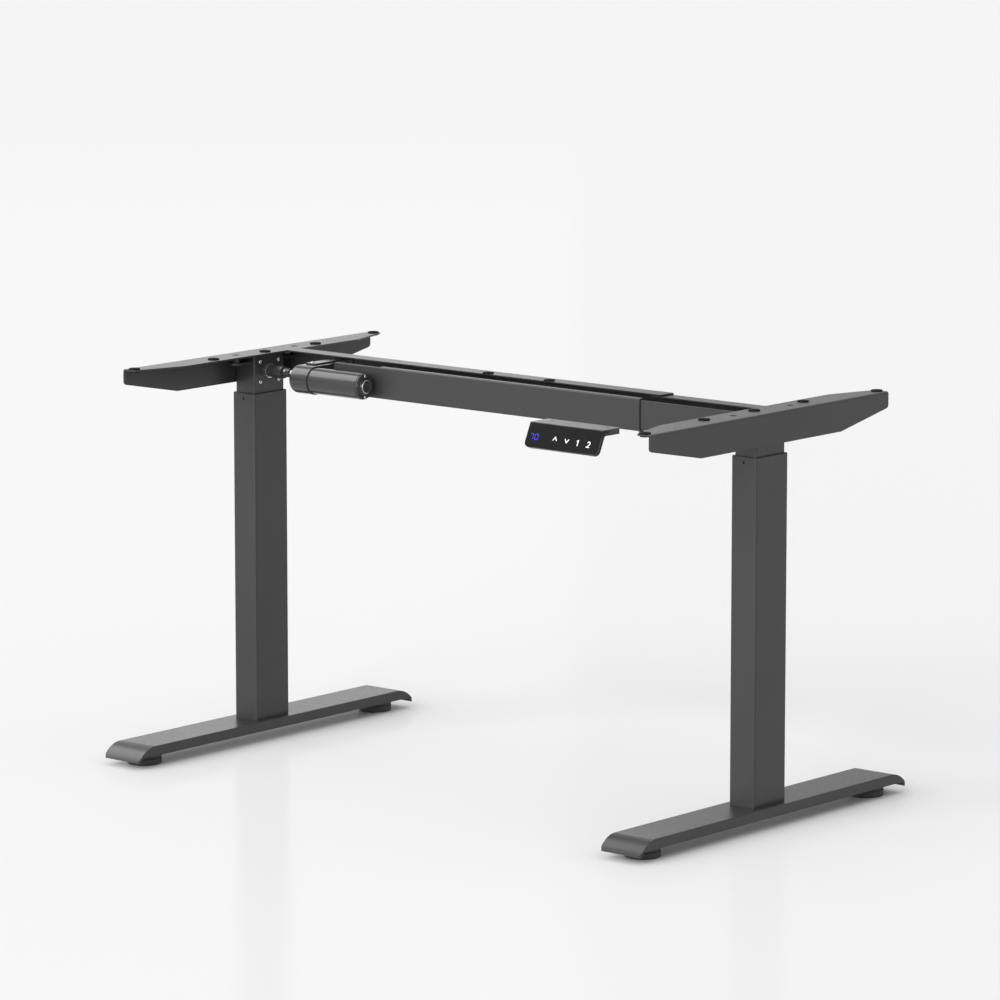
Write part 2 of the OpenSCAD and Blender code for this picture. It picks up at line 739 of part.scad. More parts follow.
module beam_outer() difference() {
    union() {
        along_x(bracket_t - leg_x - web_out, beam_right) channel_outline(0, deck_h, beam_lip, beam_flange);
        for (y = [slide_y_front, slide_y_rear]) translate([slide_x, y, beam_bottom - slide_nut_h])
            cylinder(d = foot_bolt_head_af / cos(30), h = slide_nut_h + beam_t / 2, $fn = 6);
    }
    beam_outer_end();
    beam_front_corner();
    translate([-leg_x - web_out, 0, inner_top]) cube([flange_w, beam_d, beam_h]);
    ear_window(-1);
    at_leg(-1) bend_relief();
    strap_wall_hole();
    for (y = [slide_y_front, slide_y_rear]) translate([slide_x, y, beam_bottom - slide_nut_h - over])
        cylinder(d = slide_d + 2 * thread_slack, h = slide_nut_h + beam_t + 2 * over);
    for (s = [-1, 1]) translate([s * beam_grommet_x, beam_grommet_spot(), deck_h - beam_t - over])
        cylinder(d = beam_neck_d, h = beam_t + 2 * over);
}

function beam_grommet_spot() = beam_back - beam_flange + beam_grommet_y;

module beam_grommets() for (s = [-1, 1]) translate([s * beam_grommet_x, beam_grommet_spot(), deck_h])
    grommet(beam_neck_d, beam_t);

module slot_cut(x0, x1, y, d) translate([0, y, beam_bottom]) {
    for (x = [x0, x1]) translate([x, 0, 0]) cylinder(d = d, h = beam_h / 2);
    translate([x0, -d / 2, 0]) cube([x1 - x0, d, beam_h / 2]);
}

module beam_inner() difference() {
    inset = beam_t + beam_side_gap;
    column_x = leg_x - inner_w / 2;
    past = web_out + inner_w / 2;
    along_x(inner_beam_left, leg_x + web_out - bracket_t) channel_outline(inset, inner_top, 0, beam_flange - inset);
    translate([inner_beam_left - over, -beam_front, inner_top - beam_bend_r])
        cube([beam_right - inner_flange_in - inner_beam_left + over, beam_d, beam_bend_r + over]);
    translate([column_x, -beam_front, beam_bottom])
        cube([past, beam_d - inset - beam_t, beam_h - bracket_t - beam_t]);
    translate([column_x, -beam_front, beam_bottom]) cube([past, beam_d, inset + beam_bend_r]);
    translate([column_x, -beam_front, beam_bottom]) cube([past, beam_front + inner_d / 2, beam_h + over]);
    ear_window(1);
    at_leg(1) bend_relief();
    for (y = [slide_y_front, slide_y_rear]) slot_cut(slide_x - widen, slide_x + narrow, y, slide_slot_d);
    at_leg(1) translate([0, 0, drive_z]) {
        rod_x(0, inner_w / 2 + bearing_out + gap, bearing_d + 2 * gap);
        for (y = [-1, 1], z = [-1, 1]) translate([0, y * block_screw_y, z * block_screw_z])
            rod_x(0, inner_w / 2 + block_screw_head_h + gap, block_screw_head_d + 2 * gap);
    }
}

module beam_clamp_bolts() for (y = [slide_y_front, slide_y_rear])
    translate([slide_x, y, beam_bottom + 2 * beam_t + beam_side_gap + run]) {
        cylinder(d = slide_washer_d, h = slide_washer_h);
        translate([0, 0, slide_washer_h]) cylinder(d = slide_head_d, h = slide_head_h);
        translate([0, 0, -2 * beam_t - slide_nut_h - beam_side_gap - edge_r])
            cylinder(d = slide_d, h = 2 * beam_t + slide_nut_h + beam_side_gap + edge_r);
    }

// Gears

// Spur gear outline, three points on each involute flank
module spur_outline(teeth, pitch_r, real_module, tip_r) {
    root_r = pitch_r - gear_dedendum_share * real_module;
    base_r = max(root_r, pitch_r * cos(20));
    polygon([for (i = [0 : teeth - 1]) each let (mid = 360 * i / teeth)
        let (radii = [base_r, pitch_r, tip_r], h = [for (r = radii) tooth_half_angle(r, pitch_r, teeth, gear_backlash)])
        let (left = [for (k = [0 : 2]) [radii[k], mid - h[k]]], right = [for (k = [2, 1, 0]) [radii[k], mid + h[k]]])
        let (spots = concat([[root_r, mid - h[0]]], left, right, [[root_r, mid + h[0]]]))
        [for (p = spots) p[0] * [cos(p[1]), sin(p[1])]]]);
}

// Bevel gear teeth: flat end at z = 0, narrowing towards the point where the shafts meet
module bevel_teeth_solid(phase) {
    step = 360 / bevel_teeth;
    half_root_share = 0.31;
    half_tip_share = 0.155;
    root_r = bevel_r - bevel_root;
    tip_r = bevel_r + bevel_tip;
    linear_extrude(bevel_face, scale = 1 - bevel_face / bevel_r) rotate(phase)
        polygon([for (i = [0 : bevel_teeth - 1]) each
            [for (p = [[root_r, -half_root_share], [tip_r, -half_tip_share], [tip_r, half_tip_share],
                [root_r, half_root_share]]) p[0] * [cos(step * (i + p[1])), sin(step * (i + p[1]))]]]);
}

module bevel_wheel() {
    translate([0, 0, drive_z - bevel_r]) bevel_teeth_solid(0);
    translate([0, 0, drive_z - bevel_r - bevel_hub_h]) difference() {
        cylinder(d = bevel_hub_d, h = bevel_hub_h);
        translate([0, 0, -over]) cylinder(d = journal_d + 2 * run, h = bevel_bore_depth + over);
    }
}

module lead_screw() {
    shoulder = block_bottom - gap;
    translate([0, 0, screw_bottom]) cylinder(d = screw_d, h = shoulder - screw_bottom);
    translate([0, 0, shoulder])
        cylinder(d = journal_d, h = drive_z - bevel_r - bevel_hub_h + bevel_bore_depth - shoulder);
}

module drive_pinion() translate([0, 0, drive_z]) {
    translate([bevel_r, 0, 0]) rotate([90, 0, -90]) bevel_teeth_solid(180 / bevel_teeth);
    rod_x(bevel_r, bearing_in_x - bearing_out - thrust_gap, bevel_hub_d);
    rod_x(bevel_r, pinion_end, journal_d);
}

module coupling() translate([0, 0, drive_z]) {
    difference() {
        union() {
            rod_x(inner_w / 2 + gap, sleeve_end, sleeve_d);
            rod_x(sleeve_end, collar_end, collar_d);
        }
        rod_x(0, pinion_end, journal_d + 2 * run);
        hex_x(coupling_deep, collar_end + over, hex_af + hex_slack);
        rotate([90 - grub_angle, 0, 0]) translate([(sleeve_end + collar_end) / 2, 0, 0])
            cylinder(d = grub_d, h = collar_d);
    }
    rotate([90 - grub_angle, 0, 0]) translate([(sleeve_end + collar_end) / 2, 0, hex_af / 2 + run])
        cylinder(d = grub_d, h = (collar_d - hex_af) / 2);
}

// Gearbox and motor

module drum(x0, x1, r, edge) translate([x0, 0, 0]) rotate([0, 90, 0]) rotate_extrude($fn = 72) {
    square([r - edge, x1 - x0]);
    translate([0, edge]) square([r, x1 - x0 - edge]);
    translate([r - edge, edge]) circle(edge);
}

module gearbox_outside() {
    r = gearbox_h / 2;
    for (y = [0, -motor_offset]) translate([0, y, 0]) drum(gearbox_left, gearbox_right, r, gearbox_edge_r);
    translate([0, -motor_offset, 0]) rotate([-90, 0, 0]) linear_extrude(motor_offset) {
        e = gearbox_edge_r;
        translate([gearbox_left + e, -r]) square([gearbox_len - e, 2 * r]);
        translate([gearbox_left, e - r]) square([gearbox_len, 2 * (r - e)]);
        for (y = [e - r, r - e]) translate([gearbox_left + e, y]) circle(e);
    }
    rod_x(gearbox_right - over, gearbox_right + case_boss, case_boss_d);
}

module gearbox_case() translate([0, 0, drive_z]) difference() {
    gearbox_outside();
    for (y = [0, -motor_offset]) translate([0, y, 0])
        rod_x(gearbox_left + gear_in, gear_x + gear_w + gear_side_gap, 2 * (gear_tip_r + case_cavity_slack));
    rod_x(gearbox_left - over, gearbox_right + case_boss + over, hub_d + 2 * run);
    translate([0, -motor_offset, 0]) rod_x(gearbox_left + motor_shaft_end, gearbox_right + over,
        motor_shaft_d + 2 * run);
    translate([gearbox_left + strap_x, strap_screw_y, gearbox_h / 2 + strap_t - strap_screw_len])
        cylinder(d = block_screw_d + 2 * thread_slack, h = strap_screw_len);
}

module output_gear() translate([0, 0, drive_z]) difference() {
    union() {
        along_x(gear_x, gear_x + gear_w) rotate(180)
            spur_outline(gear_teeth, gear_pitch_r, gear_real_module, gear_tip_r);
        rod_x(gearbox_left - hub_out, gearbox_right + case_boss, hub_d);
    }
    hex_x(gearbox_left - hub_out - over, gearbox_right + case_boss + over, hex_af + hex_slack);
}

module motor_pinion() translate([0, -motor_offset, drive_z]) {
    along_x(gear_x, gear_x + gear_w) rotate(180 / gear_teeth) spur_outline(gear_teeth, gear_pitch_r, gear_real_module, gear_tip_r);
    rod_x(gearbox_left + motor_shaft_end + gap, gearbox_right - gap, motor_shaft_d);
}

module motor_can() translate([0, -motor_offset, drive_z]) difference() {
    rod_x(motor_left, motor_right, motor_d);
    rotate([-45, 0, 0]) translate([motor_right - 2 * cable_hole_d, 0, motor_d / 2 - cable_hole_depth])
        cylinder(d = cable_hole_d, h = 2 * cable_hole_depth);
    for (s = [-1, 1]) translate([motor_right - cable_hole_depth, 0, s * cap_screw_r])
        rotate([0, 90, 0]) cylinder(d = cap_screw_d + 2 * thread_slack, h = 2 * cable_hole_depth);
}

module motor_end_cap() translate([motor_right, -motor_offset, drive_z]) rotate([0, 90, 0]) difference() {
    rotate_extrude($fn = 72) {
        square([motor_d / 2 - cap_inset, cap_h - edge_r]);
        square([motor_d / 2 - cap_inset - edge_r, cap_h]);
        translate([motor_d / 2 - cap_inset - edge_r, cap_h - edge_r]) circle(edge_r);
        square([cap_boss_d / 2 - cap_boss_h / 2, cap_h + cap_boss_h]);
        square([cap_boss_d / 2, cap_h + cap_boss_h / 2]);
        translate([cap_boss_d / 2 - cap_boss_h / 2, cap_h + cap_boss_h / 2]) circle(cap_boss_h / 2);
    }
    for (s = [-1, 1]) translate([s * cap_screw_r, 0, -over])
        cylinder(d = cap_screw_d + 2 * thread_slack, h = cap_h + 2 * over);
}

module motor_screws() {
    for (s = [-1, 1]) translate([motor_right + cap_h, -motor_offset, drive_z + s * cap_screw_r])
        rotate([0, 90, 0]) pan_screw(cap_screw_head_d, cap_screw_head_h, cap_screw_d, cap_screw_len);
    translate([gearbox_left + strap_x, 0, drive_z]) {
        translate([0, strap_screw_y, gearbox_h / 2 + strap_t])
            pan_screw(block_screw_head_d, block_screw_head_h, block_screw_d, strap_screw_len);
        translate([0, beam_back - beam_t - strap_t, strap_screw_z]) rotate([90, 0, 0])
            pan_screw(block_screw_head_d, block_screw_head_h, block_screw_d, strap_t + beam_t + edge_r);
    }
}

module motor_strap() translate([gearbox_left + strap_x - strap_w / 2, 0, drive_z + gearbox_h / 2]) difference() {
    union() {
        translate([0, -strap_front, 0]) cube([strap_w, strap_front + beam_back - beam_t, strap_t]);
        translate([0, beam_back - beam_t - strap_t, -strap_drop]) cube([strap_w, strap_t, strap_drop + strap_t]);
    }
    translate([strap_w / 2, strap_screw_y, -over])
        cylinder(d = block_screw_d + 2 * thread_slack, h = strap_t + 2 * over);
    translate([strap_w / 2, beam_back - beam_t + over, -strap_drop / 2]) rotate([90, 0, 0])
        cylinder(d = block_screw_d + 2 * thread_slack, h = strap_t + 2 * over);
}

// Telescoping drive shaft: a hexagonal bar that slides in a tube with a hexagonal bore

module hex_shaft() translate([0, 0, drive_z]) hex_x(coupling_deep - leg_x, beam_right - shaft_free, hex_af);

module hex_tube() translate([0, 0, drive_z]) {
    tube_left = inner_beam_left - 2 * shaft_free;
    tube_right = leg_x - collar_end - gap;
    bore_end = beam_right - shaft_free + narrow + gap;
    difference() {
        rod_x(tube_left, tube_right, hex_tube_d);
        hex_x(tube_left - over, bore_end, hex_af + 2 * hex_slack);
    }
    hex_x(tube_right, leg_x - coupling_deep, hex_af);
}

// Handset

module on_face() translate([hs_x, -hs_front, deck_h]) rotate([-face_tilt, 0, 0]) children();

// Extrudes an outline in the face's own X and Z inwards, from depth d0 to d1
module into_face(d0, d1) on_face() translate([0, d1, 0]) rotate([90, 0, 0]) linear_extrude(d1 - d0) children();

module face_outline(inset) {
    w = hs_w / 2 - inset;
    r = hs_corner_r - inset;
    polygon(rounded([[-w, -inset], [-w, inset - face_h], [w, inset - face_h], [w, -inset]],
        [edge_r, r, r, edge_r]));
}

function key_x(i) = hs_w * key_place_shares[i] - hs_w / 2;

module key_outline(i, grow) translate([key_x(i), -key_drop])
    rounded_rect(key_w + 2 * grow, key_h + 2 * grow, key_corner_r + grow);

module handset_case() difference() {
    union() {
        into_face(panel_t, panel_t + hs_shell_t) face_outline(0);
        translate([hs_x, hs_d / 2 - hs_front, deck_h - hs_t]) linear_extrude(hs_t)
            rounded_rect(hs_w, hs_d, hs_rear_r);
        intersection() {
            translate([hs_x - hs_w / 2, -hs_front, deck_h - hs_t]) cube([hs_w, hs_d / 2, hs_t]);
            into_face(panel_t, hs_d) translate([-hs_w / 2, -2 * hs_t]) square([hs_w, 3 * hs_t]);
        }
    }
    into_face(-hs_d, panel_t) square([2 * hs_w, 4 * face_h], center = true);
    for (i = [0 : 3]) into_face(0, key_t + key_travel + gap) key_outline(i, key_gap);
    for (s = [-1, 1]) translate([hs_x + s * hs_hole_pitch / 2, hs_hole_back - hs_front, deck_h - hs_t - over])
        cylinder(d = hs_hole_d, h = hs_t + 2 * over);
    translate([hs_x - hs_socket_w / 2, hs_d - hs_front - hs_socket_depth, deck_h - hs_t / 2 - hs_socket_h / 2])
        cube([hs_socket_w, hs_socket_depth + over, hs_socket_h]);
}

module handset_panel() difference() {
    into_face(0, panel_t) face_outline(panel_rim);
    for (i = [0 : 3]) into_face(-over, panel_t + over) key_outline(i, key_gap);
}

module key(i) into_face(0, key_t) key_outline(i, 0);

// Colours
frame_grey = [0.24, 0.24, 0.25];
plastic_black = [0.07, 0.07, 0.07];
rubber_black = [0.10, 0.10, 0.10];
steel = [0.72, 0.72, 0.74];
casting = [0.42, 0.42, 0.43];
brass_tone = [0.72, 0.60, 0.34];
gloss_black = [0.03, 0.03, 0.035];

color(frame_grey) at_leg(-1) foot();  // left_foot
color(frame_grey) at_leg(-1) outer_tube();  // left_outer_tube
color(steel) at_leg(-1) foot_bolts();  // left_foot_bolts
color(plastic_black) at_leg(-1) glide_bush();  // left_glide_bush
color(steel) at_leg(-1) nut_tube();  // left_nut_tube
color(brass_tone) at_leg(-1) screw_nut();  // left_screw_nut
color(rubber_black) at_leg(-1) levelling_pad(-pad_y);  // left_front_pad
color(rubber_black) at_leg(-1) levelling_pad(pad_y);  // left_rear_pad
color(frame_grey) at_leg(-1) inner_tube();  // left_inner_tube
color(plastic_black) at_leg(-1) lower_glide();  // left_lower_glide
color(casting) at_leg(-1) gear_block();  // left_gear_block
color(steel) at_leg(-1) drive_bearing();  // left_drive_bearing
color(steel) at_leg(-1) gear_block_screws();  // left_gear_block_screws
color(frame_grey) at_leg(-1) ears();  // left_ears
color(frame_grey) at_leg(-1) bracket();  // left_bracket
color(steel) at_leg(-1) bracket_screws();  // left_bracket_screws
color(rubber_black) {  // left_grommets
    at_leg(-1) bracket_grommets();
    beam_grommets();
}
color(steel) at_leg(-1) drive_pinion();  // left_drive_pinion
color(frame_grey) at_leg(-1) coupling();  // left_coupling
color(steel) at_leg(-1) lead_screw();  // left_lead_screw
color(steel) at_leg(-1) bevel_wheel();  // left_bevel_wheel
color(frame_grey) at_leg(1) foot();  // right_foot
color(frame_grey) at_leg(1) outer_tube();  // right_outer_tube
color(steel) at_leg(1) foot_bolts();  // right_foot_bolts
color(plastic_black) at_leg(1) glide_bush();  // right_glide_bush
color(steel) at_leg(1) nut_tube();  // right_nut_tube
color(brass_tone) at_leg(1) screw_nut();  // right_screw_nut
color(rubber_black) at_leg(1) levelling_pad(-pad_y);  // right_front_pad
color(rubber_black) at_leg(1) levelling_pad(pad_y);  // right_rear_pad
color(frame_grey) at_leg(1) inner_tube();  // right_inner_tube
color(plastic_black) at_leg(1) lower_glide();  // right_lower_glide
color(casting) at_leg(1) gear_block();  // right_gear_block
color(steel) at_leg(1) drive_bearing();  // right_drive_bearing
color(steel) at_leg(1) gear_block_screws();  // right_gear_block_screws
color(frame_grey) at_leg(1) ears();  // right_ears
color(frame_grey) at_leg(1) bracket();  // right_bracket
color(steel) at_leg(1) bracket_screws();  // right_bracket_screws
color(rubber_black) at_leg(1) bracket_grommets();  // right_grommets
color(steel) at_leg(1) drive_pinion();  // right_drive_pinion
color(frame_grey) at_leg(1) coupling();  // right_coupling
color(steel) at_leg(1) lead_screw();  // right_lead_screw
color(steel) at_leg(1) bevel_wheel();  // right_bevel_wheel
color(frame_grey) beam_outer();
color(frame_grey) beam_inner();
color(steel) beam_clamp_bolts();
color(frame_grey) gearbox_case();
color(frame_grey) motor_can();
color(steel) motor_end_cap();
color(steel) motor_screws();
color(steel) motor_strap();
color(steel) motor_pinion();
color(steel) output_gear();
color(steel) hex_shaft();
color(steel) hex_tube();
color(plastic_black) handset_case();
color(gloss_black) handset_panel();
color(gloss_black) key(0);  // key_up
color(gloss_black) key(1);  // key_down
color(gloss_black) key(2);  // key_one
color(gloss_black) key(3);  // key_two
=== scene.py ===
# %% [markdown]
# # An electric standing desk frame
# The frame stands at its lowest height on a pale studio floor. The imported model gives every
# rigid piece at its real size. This lesson adds what a press shop, a screw machine or a
# moulder would leave on those pieces: cross recesses, rolled threads, grooved pads, bush
# lips and printed keys, and then the powder coat, zinc, rubber and gloss plastic.
# Lengths are in metres. X runs along the beam, Y away from the user, Z up.

import math

import bmesh
import bpy
from mathutils import Matrix, Vector


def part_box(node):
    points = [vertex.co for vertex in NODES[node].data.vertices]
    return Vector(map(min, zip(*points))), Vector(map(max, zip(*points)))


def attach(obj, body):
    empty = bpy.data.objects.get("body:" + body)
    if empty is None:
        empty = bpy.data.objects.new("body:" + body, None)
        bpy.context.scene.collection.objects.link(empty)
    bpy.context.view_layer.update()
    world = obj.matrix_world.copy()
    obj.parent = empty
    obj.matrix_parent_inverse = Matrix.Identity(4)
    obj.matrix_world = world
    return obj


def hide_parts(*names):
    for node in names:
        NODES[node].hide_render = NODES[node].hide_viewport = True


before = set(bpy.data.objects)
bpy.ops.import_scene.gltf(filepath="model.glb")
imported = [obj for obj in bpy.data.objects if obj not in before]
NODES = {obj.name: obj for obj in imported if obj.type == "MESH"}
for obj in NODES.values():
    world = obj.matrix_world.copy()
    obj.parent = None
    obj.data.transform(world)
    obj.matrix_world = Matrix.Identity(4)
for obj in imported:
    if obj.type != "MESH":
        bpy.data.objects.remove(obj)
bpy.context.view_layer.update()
MM = 0.001
SIDES = {"left": -1, "right": 1}


def new_object(name, data):
    """An object in the scene that shows the data."""
    made = bpy.data.objects.new(name, data)
    bpy.context.scene.collection.objects.link(made)
    return made


def middle(node):
    """The middle of a rigid piece's box at rest."""
    low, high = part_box(node)
    return (low + high) / 2


# %% [markdown]
# ## Camera
# The photograph is a long-lens studio shot. A camera was fitted to the parallel edges of the
# beam, the brackets and the feet, which gives a 202 mm lens a little under ten metres away,
# turned forty degrees to the left and tipped nine degrees down. A long lens keeps the two
# columns nearly the same size, so the camera's place matters as much as its angle.

# %% Place the camera
CAMERA_AT = Vector((6.1776, -7.2856, 2.0746))
CAMERA_YAW, CAMERA_PITCH = 0.7034, -0.1643
LENS_MM, SENSOR_MM = 202.1, 36
FARTHEST_SEEN = 200
camera_data = bpy.data.cameras.new("studio_camera")
camera_data.sensor_width = SENSOR_MM
camera_data.lens = LENS_MM
camera_data.clip_end = FARTHEST_SEEN
camera = new_object("studio_camera", camera_data)
look = Vector((
    -math.sin(CAMERA_YAW) * math.cos(CAMERA_PITCH),
    math.cos(CAMERA_YAW) * math.cos(CAMERA_PITCH),
    math.sin(CAMERA_PITCH),
))
camera.location = CAMERA_AT
camera.rotation_mode = "QUATERNION"
camera.rotation_quaternion = look.to_track_quat("-Z", "Y")
bpy.context.scene.camera = camera
print("camera", tuple(round(v, 3) for v in camera.location), "lens", camera_data.lens)

# %% [markdown]
# ## Helpers for node trees
# Materials and Geometry Nodes are both trees, so the same few helpers build them. One makes
# an empty group with named sockets. Another adds a node, sets its plain values and links
# what comes in, which keeps each tree readable from top to bottom.


# %% Node helpers
def linear(hex_colour):
    """An sRGB colour written as hex, in the linear values that Blender's sockets take."""
    channels = [int(hex_colour[i:i + 2], 16) / 255 for i in (0, 2, 4)]
    return [c / 12.92 if c <= 0.04045 else ((c + 0.055) / 1.055) ** 2.4 for c in channels]


def new_tree(name, kind, inputs, outputs):
    """An empty node group. inputs is {name: (socket type, default)}, outputs {name: type}."""
    tree = bpy.data.node_groups.new(name, kind)
    for label, (socket_type, default) in inputs.items():
        socket = tree.interface.new_socket(label, in_out="INPUT", socket_type=socket_type)
        if default is not None:
            socket.default_value = default
    for label, socket_type in outputs.items():
        tree.interface.new_socket(label, in_out="OUTPUT", socket_type=socket_type)
    given = tree.nodes.new("NodeGroupInput").outputs
    return tree, given, tree.nodes.new("NodeGroupOutput").inputs


def add(tree, kind, links=None, **values):
    """A node with its settings, its plain socket values and its incoming links."""
    node = tree.nodes.new(kind)
    for name, value in values.items():
        setattr(node, name, value)
    for socket, source in (links or {}).items():
        if isinstance(source, bpy.types.NodeSocket):
            tree.links.new(source, node.inputs[socket])
        else:
            node.inputs[socket].default_value = source
    return node


def multiply(tree, a, b):
    return add(tree, "ShaderNodeMath", {0: a, 1: b}, operation="MULTIPLY").outputs[0]


def spread(tree, source, low, high, dark, light):
    """Maps a mask between low and high to the range dark to light."""
    return add(tree, "ShaderNodeMapRange", {
        "Value": source, "From Min": low, "From Max": high, "To Min": dark, "To Max": light,
    }).outputs["Result"]


def object_place(tree):
    """The output that gives a point's place on its own object, which a texture then follows."""
    return tree.nodes.new("ShaderNodeTexCoord").outputs["Object"]


print("node helpers ready")

# %% [markdown]
# ## Shared surface effects
# Four effects turn up in more than one finish, so each is a node group with named inputs:
# the orange peel of powder coat, the fine lines that drawing, turning or brushing leaves on
# metal, the mottling of moulded plastic and rubber, and the smudges and rubbed patches of
# handling. The groups put out only heights and masks. Values that are the same all over the
# surface are set on the shader's own sockets.


# %% Powder coat and machining lines
SURFACE = {"Height": "NodeSocketFloat", "Tone": "NodeSocketFloat", "Sheen": "NodeSocketFloat"}
USUAL = (0.3, 0.7)  # nearly all values of a noise lie between these


def powder_group():
    tree, given, out = new_tree(
        "powder_peel", "ShaderNodeTree", {"Grain": ("NodeSocketFloat", 1300.0)}, SURFACE,
    )
    place = object_place(tree)
    fine = add(tree, "ShaderNodeTexNoise", {
        "Vector": place, "Scale": given["Grain"], "Detail": 2.0,
    })
    peel = add(tree, "ShaderNodeTexNoise", {
        "Vector": place, "Scale": multiply(tree, given["Grain"], 0.25), "Detail": 1.0,
    })
    cloud = add(tree, "ShaderNodeTexNoise", {"Vector": place, "Scale": 6.0, "Detail": 4.0})
    height = add(tree, "ShaderNodeMath", {
        0: fine.outputs["Fac"], 1: 0.35, 2: peel.outputs["Fac"],
    }, operation="MULTIPLY_ADD")
    tree.links.new(height.outputs[0], out["Height"])
    tree.links.new(spread(tree, cloud.outputs["Fac"], *USUAL, 0.92, 1.08), out["Tone"])
    tree.links.new(spread(tree, peel.outputs["Fac"], *USUAL, 0.0, 1.0), out["Sheen"])
    return tree


def streak_group():
    along = {axis: f"Lines along {axis}" for axis in "XYZ"}
    tree, given, out = new_tree(
        "machining_lines", "ShaderNodeTree",
        {label: ("NodeSocketFloat", 40.0) for label in along.values()}, SURFACE,
    )
    stretch = add(tree, "ShaderNodeCombineXYZ", {
        axis: given[label] for axis, label in along.items()
    })
    pulled = add(tree, "ShaderNodeVectorMath", {
        0: object_place(tree), 1: stretch.outputs[0],
    }, operation="MULTIPLY")
    lines = add(tree, "ShaderNodeTexNoise", {
        "Vector": pulled.outputs[0], "Scale": 1.0, "Detail": 4.0,
    })
    tree.links.new(lines.outputs["Fac"], out["Height"])
    tree.links.new(spread(tree, lines.outputs["Fac"], *USUAL, 0.85, 1.1), out["Tone"])
    tree.links.new(spread(tree, lines.outputs["Fac"], *USUAL, 1.0, 0.0), out["Sheen"])
    return tree


EFFECTS = {"powder": powder_group(), "lines": streak_group()}
print("effects for metal:", ", ".join(tree.name for tree in EFFECTS.values()))


# %% Moulded mottling and handling marks
def mottle_group():
    tree, given, out = new_tree(
        "moulded_mottle", "ShaderNodeTree", {"Grain": ("NodeSocketFloat", 900.0)}, SURFACE,
    )
    place = object_place(tree)
    spark = add(tree, "ShaderNodeTexVoronoi", {"Vector": place, "Scale": given["Grain"]})
    cloud = add(tree, "ShaderNodeTexNoise", {"Vector": place, "Scale": 30.0, "Detail": 4.0})
    tree.links.new(spark.outputs["Distance"], out["Height"])
    tree.links.new(spread(tree, cloud.outputs["Fac"], *USUAL, 0.88, 1.12), out["Tone"])
    tree.links.new(cloud.outputs["Fac"], out["Sheen"])
    return tree


def handling_group():
    tree, given, out = new_tree(
        "handling_marks", "ShaderNodeTree",
        {"Size": ("NodeSocketFloat", 9.0), "Amount": ("NodeSocketFloat", 0.3)},
        {"Mask": "NodeSocketFloat"},
    )
    smear = add(tree, "ShaderNodeTexNoise", {
        "Vector": object_place(tree), "Scale": given["Size"], "Detail": 5.0, "Distortion": 0.8,
    })
    patch = spread(tree, smear.outputs["Fac"], 0.52, 0.68, 0.0, 1.0)
    tree.links.new(multiply(tree, patch, given["Amount"]), out["Mask"])
    return tree


EFFECTS["mottle"] = mottle_group()
HANDLING = handling_group()
print("more effects:", EFFECTS["mottle"].name, "and", HANDLING.name)

# %% [markdown]
# ## One maker for every finish
# A finish is a Principled shader. Its base colour is varied by the effect's tone, its
# roughness by the effect's sheen and by handling marks, and its normal comes from a Bump
# node fed by the effect's height. Only the numbers differ from finish to finish, so one
# function makes them all, with a short form for metals and one for moulded surfaces.


# %% The finish maker
def finish(name, colour, effect, settings, roughness, rough_swing, bump, depth, **sockets):
    """A material. depth is the relief's height in metres, and sockets are set as they are."""
    material = bpy.data.materials.new(name)
    material.use_nodes = True
    tree = material.node_tree
    shader = tree.nodes["Principled BSDF"]
    effect_node = add(tree, "ShaderNodeGroup", node_tree=EFFECTS[effect])
    for label, value in settings.items():
        effect_node.inputs[label].default_value = value
    marks = add(tree, "ShaderNodeGroup", node_tree=HANDLING)
    tint = add(tree, "ShaderNodeVectorMath", {
        0: linear(colour), "Scale": effect_node.outputs["Tone"],
    }, operation="SCALE")
    tree.links.new(tint.outputs[0], shader.inputs["Base Color"])
    sheen = spread(
        tree, effect_node.outputs["Sheen"], 0.0, 1.0,
        roughness - rough_swing, roughness + rough_swing,
    )
    rubbed = add(tree, "ShaderNodeMath", {
        0: marks.outputs["Mask"], 1: -rough_swing, 2: sheen,
    }, operation="MULTIPLY_ADD")
    tree.links.new(rubbed.outputs[0], shader.inputs["Roughness"])
    relief = add(tree, "ShaderNodeBump", {
        "Strength": bump, "Distance": depth, "Height": effect_node.outputs["Height"],
    })
    tree.links.new(relief.outputs["Normal"], shader.inputs["Normal"])
    for label, value in sockets.items():
        shader.inputs[label.replace("_", " ")].default_value = value
    return material


print("a finish mixes the lines, mottle or powder effect with", HANDLING.name)


# %% The finishes
def lines_along(x, y, z):
    """How many lines a metre holds along each axis. Lines run the way of the smallest number."""
    return {"Lines along X": x, "Lines along Y": y, "Lines along Z": z}


def metal(name, colour, lines, roughness, rough_swing=0.08, **sockets):
    """Machined or plated steel or bronze, its lines a hundredth of a millimetre deep."""
    sockets = {"Metallic": 1.0, **sockets}
    return finish(
        name, colour, "lines", lines, roughness, rough_swing, 0.3, 0.01 * MM, **sockets,
    )


def moulded(name, colour, grain, roughness, rough_swing, bump, depth, **sockets):
    """Rubber, plastic or a casting, mottled at a grain given in spots to the metre."""
    return finish(
        name, colour, "mottle", {"Grain": grain}, roughness, rough_swing, bump, depth, **sockets,
    )


TURNED_X = lines_along(1800.0, 40.0, 40.0)
TURNED_Z = lines_along(40.0, 40.0, 1800.0)
DRAWN_X = lines_along(30.0, 1200.0, 1200.0)
